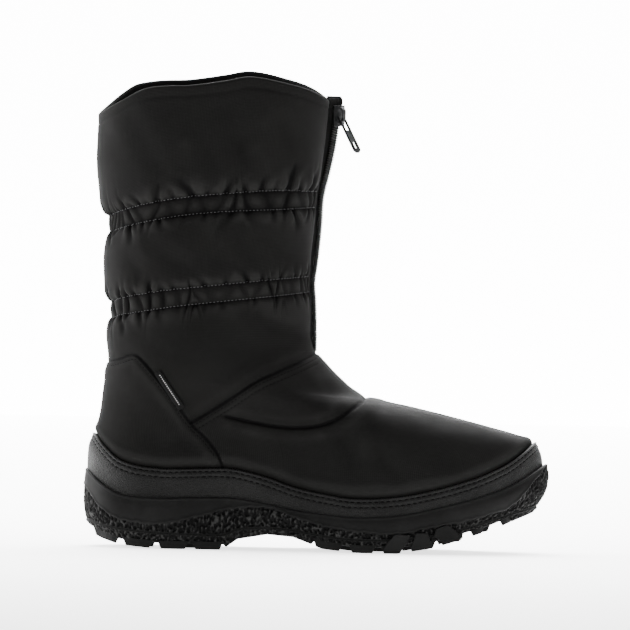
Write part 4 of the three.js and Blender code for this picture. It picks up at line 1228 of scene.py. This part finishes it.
def rounded_copy(name, thing, bevel, angle=30):
    """Applies a rounding, in millimetres, to every sharp edge of a piece, and names the result."""
    rounding = thing.modifiers.new("rounding", "BEVEL")
    rounding.width = bevel * MM
    rounding.segments = 2
    rounding.limit_method = "ANGLE"
    rounding.angle_limit = math.radians(angle)
    evaluated = thing.evaluated_get(bpy.context.evaluated_depsgraph_get())
    mesh = bpy.data.meshes.new_from_object(evaluated)
    thing.modifiers.clear()
    thing.data = mesh
    thing.name = name
    work = bmesh.new()
    work.from_mesh(mesh)
    for face in work.faces:
        face.smooth = len(face.verts) <= 4 and face.calc_area() < LARGE_FLAT * MM**2
    for edge in work.edges:
        edge.smooth = edge.calc_face_angle(0) < SHARP_EDGE
    work.to_mesh(mesh)
    work.free()
    return thing


def bmesh_object(name, work):
    mesh = bpy.data.meshes.new(name)
    bmesh.ops.recalc_face_normals(work, faces=work.faces)
    work.to_mesh(mesh)
    work.free()
    thing = bpy.data.objects.new(name, mesh)
    bpy.context.scene.collection.objects.link(thing)
    return thing


lug_work = bmesh.new()
for x0, x1 in EDGE_LUGS + TIP_LUGS:
    for side in (1, -1):
        add_lug(lug_work, x0, x1, lambda x: np.full_like(x, EDGE_LUG_INNER),
                lambda x: np.maximum(lug_edge(x, LUG_INSET), EDGE_LUG_INNER + 1), side,
                TIP_LUG_RISE if (x0, x1) in TIP_LUGS else 0.0)
for x0, x1 in MIDDLE_LUGS:
    add_lug(lug_work, x0, x1, lambda x: np.full_like(x, -MIDDLE_LUG_HALF),
            lambda x: np.full_like(x, MIDDLE_LUG_HALF), 1)
for corners in WEDGES:
    for side in (1, -1):
        wedge_x, wedge_z = np.array(corners).T
        face = -side * (smooth_column(PLAN, "x", "half", wedge_x)
                        * round_end(WEDGE_TOE - wedge_x, TOE_ROUNDING) + WEDGE_STAND)
        face = face + np.where(wedge_z < WEDGE_LOW, side * WEDGE_LOW_SET_IN, 0)
        face = face + smooth_column(PLAN, "x", "centre", wedge_x)
        outside = list(zip(wedge_x, face, wedge_z))
        inside = list(zip(wedge_x, face + side * WEDGE_DEPTH, wedge_z))
        add_block(lug_work, inside, outside)
lugs = rounded_copy("outsole_lugs", bmesh_object("lug_blocks", lug_work), LUG_BEVEL)
lugs.data.materials.append(tread_rubber)
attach(lugs, "boot")

# Zip. Two woven tapes sewn behind the edges of the slot, and a nylon coil on each, wound round a
# dark cord. The coils' turns lock into one another in a herringbone. The tapes' ends are folded
# over and rounded at the top.
# The zip's line up the boot: the slot's sewn edge, the middle of the chain, and how far the
# chain faces round from the front to the outer side, in degrees.
ZIP_LINE = {
    "z": [121, 133, 153, 164, 180, 200, 217, 232, 245, 262, 282],
    "edge": [-2.6, -5, -5.2, -5.6, -5.4, -3.4, -2.4, -0.6, 1.2, 3, 4.4],
    "chain": [-3.2, -3.2, -4.0, -4.8, -3.0, -1.4, -0.6, 2.6, 5.2, 7.6, 9.9],
    "turn": [6, 8, 10, 10, 12, 16, 24, 36, 42, 45, 45],
}
TAPE_BOTTOM = 122.4
TAPE_TOP = 279.5
CHAIN_TOP = 262.5
# The tapes: their steps up the boot, the fold and rounding of their upper ends, how far they lie
# behind the chain's middle, and where they end beside the chain and at the slot's edge.
TAPE_STEPS = 80
FOLD_STEPS = 30
TAPE_FOLD = 8
TAPE_FOLD_FROM = 6.2
TAPE_END_ROUND = 4.2
TAPE_BEHIND = 0.8
TAPE_THICK = 0.6
FOLD_BACKWARD = 0.9
FOLD_FORWARD = 1.5
END_DRAWN_IN = 2.0
CHAIN_HALF = 3.1
TAPE_SEAM_IN = 1.6
TAPE_END_COLUMNS = 18
TAPE = (0.008, 0.008, 0.0078, 1)
TAPE_DARK = (0.0008, 0.0008, 0.0008, 1)
TAPE_LIGHT = (0.0026, 0.0026, 0.0025, 1)
# The coils' turns, as beads with a pitch, length, width and height, how far they stand apart,
# out and askew, and the cord that they are wound round.
COIL_PITCH = 1.5
COIL_BEAD = (1.0, 3.4, 2.6)
COIL_APART = 1.25
COIL_OUT = 0.6
COIL_LEAN = math.radians(24)
COIL_NYLON = (0.006, 0.006, 0.006, 1)
COIL_DARK = (0.013, 0.013, 0.0128, 1)
COIL_LIGHT = (0.030, 0.030, 0.0295, 1)
CORD_HALF_WIDTH = 2.3
CORD_HALF_DEPTH = 0.9
CORD_OUT = 0.2


def zip_out(z):
    angle = np.radians(smooth_column(ZIP_LINE, "z", "turn", z))
    return np.stack([np.cos(angle), -np.sin(angle), 0 * angle], axis=-1)


def zip_across(z):
    out = zip_out(z)
    return np.stack([-out[..., 1], out[..., 0], 0 * out[..., 0]], axis=-1)


def zip_middle(z):
    return np.stack([smooth_column(ZIP_LINE, "z", "chain", z), 0 * z, z], axis=-1)


tape_cloth, tape_tree, tape_shader = new_material("tape_cloth", TAPE, 0.85, specular=0.04)
tape_weave = weave_height(tape_tree, 0.5)
fibre_tones(tape_tree, tape_shader, tape_weave, TAPE_DARK, TAPE_LIGHT, (0.3, 1.6))
add_bump(tape_tree, tape_shader, [(tape_weave, 0.6, 0.0002)])
tape_z = np.concatenate([np.linspace(TAPE_BOTTOM, TAPE_TOP - TAPE_FOLD, TAPE_STEPS),
                         np.linspace(TAPE_TOP - TAPE_FOLD + 0.3, TAPE_TOP, FOLD_STEPS)])
tape_round = round_end(TAPE_TOP - tape_z, TAPE_END_ROUND)
tape_fold = step_up(tape_z - (TAPE_TOP - TAPE_FOLD_FROM), 1.0) * tape_round
tape_in = -zip_out(tape_z)
tape_middle = zip_middle(tape_z) + tape_in * TAPE_BEHIND
for side, node in ((-1, "zip_tape_outer"), (1, "zip_tape_inner")):
    inner_edge = tape_middle + zip_across(tape_z) * side * 0.1
    chain_edge = tape_middle + zip_across(tape_z) * side * CHAIN_HALF
    outer_edge = np.stack([smooth_column(ZIP_LINE, "z", "edge", tape_z) - TAPE_SEAM_IN,
                           np.full(len(tape_z), side * (SLOT_HALF_WIDTH - 0.2)), tape_z], axis=-1)
    columns = [mix(inner_edge, chain_edge, share) for share in (0, 0.5, 0.9)]
    columns += [mix(chain_edge, outer_edge, share) for share in np.linspace(0.04, 1, 6)]
    front = np.stack(columns, axis=1)
    back = front[:, ::-1] + tape_in[:, None] * (TAPE_THICK + FOLD_BACKWARD * tape_fold)[:, None, None]
    front = front - tape_in[:, None] * (FOLD_FORWARD * tape_fold)[:, None, None]
    front = front + tape_in[:, None] * (END_DRAWN_IN * (1 - tape_round))[:, None, None]
    loop = np.concatenate([front, back], axis=1)
    if side < 0:
        loop = loop[:, ::-1]
    ends = [loop[k:k + 1].mean(axis=1, keepdims=True).repeat(TAPE_END_COLUMNS, axis=1)
            for k in (0, len(loop) - 1)]
    loop = np.concatenate([ends[0], loop, ends[1]])
    tape = grid_object("tape_" + node.split("_")[-1], loop, surface_uv(loop), closed=True)
    merge_close(tape)
    tape.data.materials.append(tape_cloth)
    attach(tape, "boot")
    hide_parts(node)


def bead_tree(name, material):
    """Beads laid along a path at a pitch, each turned about the path's outward direction."""
    tree = bpy.data.node_groups.new(name, "GeometryNodeTree")
    face = tree.interface
    face.new_socket("Geometry", in_out="INPUT", socket_type="NodeSocketGeometry")
    for key in ("Pitch", "Length", "Width", "Height", "Turn"):
        face.new_socket(key, in_out="INPUT", socket_type="NodeSocketFloat")
    face.new_socket("Geometry", in_out="OUTPUT", socket_type="NodeSocketGeometry")
    given = tree.nodes.new("NodeGroupInput").outputs
    curve = add_node(tree, "GeometryNodeMeshToCurve", {"Mesh": given["Geometry"]})
    even = add_node(tree, "GeometryNodeResampleCurve", {
        "Curve": curve.outputs["Curve"], "Length": given["Pitch"]}, mode="LENGTH")
    out = add_node(tree, "GeometryNodeInputNamedAttribute", {"Name": "out"},
                   data_type="FLOAT_VECTOR")
    along = tree.nodes.new("GeometryNodeInputTangent").outputs[0]
    facing = add_node(tree, "FunctionNodeAxesToRotation", {
        0: out.outputs["Attribute"], 1: along}, primary_axis="Z", secondary_axis="X")
    about = add_node(tree, "ShaderNodeCombineXYZ", {"Z": given["Turn"]})
    turned = add_node(tree, "FunctionNodeRotateRotation", {
        0: facing.outputs[0], 1: about.outputs[0]}, rotation_space="LOCAL")
    size = add_node(tree, "ShaderNodeCombineXYZ", {
        0: given["Length"], 1: given["Width"], 2: given["Height"]})
    ball = add_node(tree, "GeometryNodeMeshUVSphere", {
        "Segments": 8, "Rings": 6, "Radius": 0.5})
    soft = add_node(tree, "GeometryNodeSetShadeSmooth", {"Geometry": ball.outputs["Mesh"]})
    placed = add_node(tree, "GeometryNodeInstanceOnPoints", {
        "Points": even.outputs["Curve"], "Instance": soft.outputs[0],
        "Rotation": turned.outputs[0], "Scale": size.outputs[0]})
    real = add_node(tree, "GeometryNodeRealizeInstances", {"Geometry": placed.outputs[0]})
    finish = add_node(tree, "GeometryNodeSetMaterial", {
        "Geometry": real.outputs[0], "Material": material})
    end = tree.nodes.new("NodeGroupOutput")
    tree.links.new(finish.outputs[0], end.inputs["Geometry"])
    return tree


def bead_rows(name, paths, material, pitch, size, turn=0.0):
    """A joined mesh of beads along paths, each a pair of points and outward directions."""
    points, outs, edges = [], [], []
    for path, out in paths:
        start = len(points)
        points.extend((np.asarray(path) * MM).tolist())
        outs.extend(np.asarray(out).tolist())
        edges.extend([(k, k + 1) for k in range(start, len(points) - 1)])
    mesh = bpy.data.meshes.new(name)
    mesh.from_pydata(points, edges, [])
    layer = mesh.attributes.new("out", "FLOAT_VECTOR", "POINT")
    layer.data.foreach_set("vector", np.asarray(outs, dtype=np.float32).reshape(-1))
    thing = bpy.data.objects.new(name, mesh)
    bpy.context.scene.collection.objects.link(thing)
    tree = bead_tree(name + "_beads", material)
    length, width, height = size
    inputs = {"Pitch": pitch * MM, "Length": length * MM, "Width": width * MM,
              "Height": height * MM, "Turn": turn}
    modifier = thing.modifiers.new("beads", "NODES")
    modifier.node_group = tree
    for item in tree.interface.items_tree:
        if item.in_out == "INPUT" and item.name in inputs:
            modifier[item.identifier] = float(inputs[item.name])
    evaluated = thing.evaluated_get(bpy.context.evaluated_depsgraph_get())
    made = bpy.data.meshes.new_from_object(evaluated)
    thing.modifiers.clear()
    thing.data = made
    made.materials.clear()
    made.materials.append(material)
    return thing


coil_nylon, coil_tree, coil_shader = new_material("coil_nylon", COIL_NYLON, 0.6, specular=0.05)
fibre_tones(coil_tree, coil_shader, object_noise(coil_tree, 300, 3), COIL_DARK, COIL_LIGHT,
            (0.35, 0.65))
coil_z = np.linspace(TAPE_BOTTOM + 0.6, CHAIN_TOP, 150)
coil_middle, coil_across, coil_out = zip_middle(coil_z), zip_across(coil_z), zip_out(coil_z)
for side, name in ((-1, "zip_coil_outer"), (1, "zip_coil_inner")):
    line = coil_middle + coil_across * side * COIL_APART + coil_out * COIL_OUT
    coil = bead_rows(name, [(line, coil_out)], coil_nylon, COIL_PITCH, COIL_BEAD,
                     side * COIL_LEAN)
    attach(coil, "boot")
    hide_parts("zip_chain")
cord_angle = np.linspace(0, 2 * math.pi, 12, endpoint=False)[None, :, None]
cord_points = (coil_middle[:, None] + coil_across[:, None] * CORD_HALF_WIDTH * np.cos(cord_angle)
               + coil_out[:, None] * (CORD_OUT - CORD_HALF_DEPTH * np.sin(cord_angle)))
cord_points[0] = cord_points[0].mean(axis=0)
cord_points[-1] = cord_points[-1].mean(axis=0)
cord = grid_object("zip_coil_cord", cord_points, surface_uv(cord_points), closed=True)
merge_close(cord)
cord.data.materials.append(tape_cloth)
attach(cord, "boot")
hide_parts("zip_chain")

# Slider and pull. Cast zinc with a dark painted finish, rubbed brighter in patches. The
# pull hangs on the slider's bail and swings; the slider stays near the top of the chain.
ZINC = (0.02, 0.02, 0.021, 1)
ZINC_PAINTED = (0.008, 0.008, 0.0083, 1)
ZINC_RUBBED = (0.040, 0.040, 0.0415, 1)
SLIDER_BEVEL = 0.4
PULL_BEVEL = 0.28


def smooth_copy(node, name, bevel, angle=32):
    """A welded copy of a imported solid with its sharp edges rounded."""
    thing = bpy.data.objects.new(name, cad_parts[node].data.copy())
    bpy.context.scene.collection.objects.link(thing)
    work = bmesh.new()
    work.from_mesh(thing.data)
    bmesh.ops.remove_doubles(work, verts=work.verts, dist=1e-6)
    bmesh.ops.dissolve_limit(work, angle_limit=math.radians(0.6), verts=work.verts,
                             edges=work.edges)
    work.to_mesh(thing.data)
    work.free()
    thing.data.materials.clear()
    return rounded_copy(name, thing, bevel, angle=angle)


metal, metal_tree, metal_shader = new_material("painted_zinc", ZINC, 0.34, 0.12, 0.5)
wear = object_noise(metal_tree, 220, 5)
metal_colour = mix_colour(metal_tree, fade(metal_tree, wear, 0.45, 0.72, 0.0, 0.8),
                          ZINC_PAINTED, ZINC_RUBBED)
metal_tree.links.new(metal_colour, metal_shader.inputs["Base Color"])
metal_tree.links.new(fade(metal_tree, wear, 0.3, 0.7, 0.30, 0.5), metal_shader.inputs["Roughness"])
add_bump(metal_tree, metal_shader, [(wear, 0.2, 0.0001)])
slider = smooth_copy("zip_slider", "slider_body", SLIDER_BEVEL)
slider.data.materials.append(metal)
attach(slider, "boot")
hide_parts("zip_slider")
pull = smooth_copy("zip_pull", "pull_plate", PULL_BEVEL)
pull.data.materials.append(metal)
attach(pull, "pull_tab")
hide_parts("zip_pull")

# Label. A folded tab of plain black satin ribbon, caught in the heel panel's edge, with a row of
# short pale stitches along its middle in place of any lettering.
RIBBON = (0.009, 0.009, 0.009, 1)
RIBBON_DARK = (0.0006, 0.0006, 0.0006, 1)
RIBBON_LIGHT = (0.0024, 0.0024, 0.0024, 1)
LABEL_BEVEL = 0.3
ribbon, ribbon_tree, ribbon_shader = new_material("ribbon", RIBBON, 0.5, specular=0.04)
ribbon_weave = object_noise(ribbon_tree, 2200, 2, (1, 1, 4))
fibre_tones(ribbon_tree, ribbon_shader, ribbon_weave, RIBBON_DARK, RIBBON_LIGHT)
add_bump(ribbon_tree, ribbon_shader, [(ribbon_weave, 0.5, 0.0001)])
label = smooth_copy("label_tab", "label_ribbon_tab", LABEL_BEVEL)
label.data.materials.append(ribbon)
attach(label, "boot")
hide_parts("label_tab")

# Stitches. Grey thread in two rows on each band, black thread in one row on the heel panel, two on
# the instep panel and two round the rand, and pale thread on the label. Each stitch is a bead that
# sinks at its ends into the cloth.
THREADS = {
    "thread": ((0.016, 0.016, 0.0156, 1), (0.016, 0.016, 0.0163, 1), (0.046, 0.046, 0.0470, 1)),
    "dark_thread": ((0.0006, 0.0006, 0.0006, 1), (0.0002, 0.0002, 0.0002, 1),
                    (0.0016, 0.0016, 0.0016, 1)),
    "pale_thread": ((0.3, 0.3, 0.29, 1), (0.12, 0.12, 0.118, 1), (0.34, 0.34, 0.335, 1)),
}
# The pitch of each row's stitches, and the length, width and height of a stitch.
BAND_STITCH = (2.3, (1.45, 0.55, 0.4))
SEAM_STITCH = (2.6, (1.6, 0.42, 0.34))
RAND_STITCH = (3.7, (2.5, 0.85, 0.5))
LABEL_STITCH = (1.3, (0.75, 0.7, 0.24))
HEEL_STITCH_IN = 2.3
INSTEP_STITCH_IN = (2.0, 5.0)
LABEL_LINE = [(-97.6, 107.0), (-92.0, 98.8), (-85.6, 89.4)]


def thread_material(name, roughness, specular=0.5):
    plain, dark, light = THREADS[name]
    material, tree, shader = new_material(name, plain, roughness, specular)
    fibre_tones(tree, shader, object_noise(tree, 1800, 2), dark, light)
    return material


def surface_tree(thing):
    return BVHTree.FromPolygons([v.co for v in thing.data.vertices],
                                [p.vertices[:] for p in thing.data.polygons])


def path_on(tree, starts, inward, lift, reach):
    """Points where rays of a limited reach meet a piece, lifted off it along its normal."""
    path, outs = [], []
    for start, direction in zip(starts, inward):
        hit, normal, _, _ = tree.ray_cast(Vector(start) * MM, Vector(direction), reach * MM)
        if hit is not None:
            path.append(np.array(hit) / MM + np.array(normal) * lift)
            outs.append(np.array(normal))
    return path, outs


def ring_path(tree, height, turns, lift, start=9.0):
    """A path round the boot at a height that follows its side."""
    rows = row_at_height(height, turns)
    face, normal = upper_face(rows, turns), upper_normal(rows, turns)
    return path_on(tree, face + normal * start, -normal, lift, 20)


def seam_path(tree, path, offset, side, lift, count):
    """A path beside a seam of the side view, on the outer or the inner side of the boot."""
    line = smooth_path(path, count)
    along = np.gradient(line, axis=0)
    along = along / np.linalg.norm(along, axis=1, keepdims=True)
    line = line + offset * np.stack([along[:, 1], -along[:, 0]], axis=1)
    starts = np.stack([line[:, 0], np.full(count, -side * 75.0), line[:, 1]], axis=1)
    return path_on(tree, starts, [(0, side, 0)] * count, lift, 75)


thread = thread_material("thread", 0.7, 0.15)
dark_thread = thread_material("dark_thread", 0.9, 0.02)
pale_thread = thread_material("pale_thread", 0.8)
shaft_tree = surface_tree(shaft)
foot_tree = surface_tree(foot)
rand_tree = surface_tree(rand)
band_turns = np.linspace(-1, 1, 700) * (math.pi - 0.20)
band_paths = []
for band in ("upper", "lower"):
    for edge in ("top", "low"):
        # the lowest row is lifted a little, on to the shaft's own cloth
        reach_up = 0.3 if (band, edge) == ("lower", "low") else 0.0
        band_paths.append(ring_path(
            shaft_tree, lambda x: band_line(band, edge, x) + reach_up, band_turns, 0.1))
band_stitches = bead_rows("band_stitches", band_paths, thread, *BAND_STITCH)
seam_paths = []
for side in (1, -1):
    seam_paths.append(seam_path(foot_tree, HEEL_EDGE[1:-2], HEEL_STITCH_IN, side, 0.05, 200))
    for offset in INSTEP_STITCH_IN:
        seam_paths.append(seam_path(foot_tree, INSTEP_EDGE[:-1], offset, side, 0.05, 160))
seam_stitches = bead_rows("seam_stitches", seam_paths, dark_thread, *SEAM_STITCH)
rand_turns = np.linspace(-math.pi, math.pi, 1200)
rand_paths = [ring_path(rand_tree, lambda x: side_height("rand", x) - drop, rand_turns, 0.05)
              for drop in RAND_STITCH_DROPS]
rand_stitches = bead_rows("rand_stitches", rand_paths, dark_thread, *RAND_STITCH)
label_path = seam_path(surface_tree(label), LABEL_LINE, 0.0, 1, 0.02, 60)
label_stitches = bead_rows("label_stitches", [label_path], pale_thread, *LABEL_STITCH)
for stitches, slot_name in ((band_stitches, "upper_fabric"), (seam_stitches, "upper_fabric"),
                            (rand_stitches, "rand_leather"), (label_stitches, "label_ribbon")):
    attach(stitches, "boot")
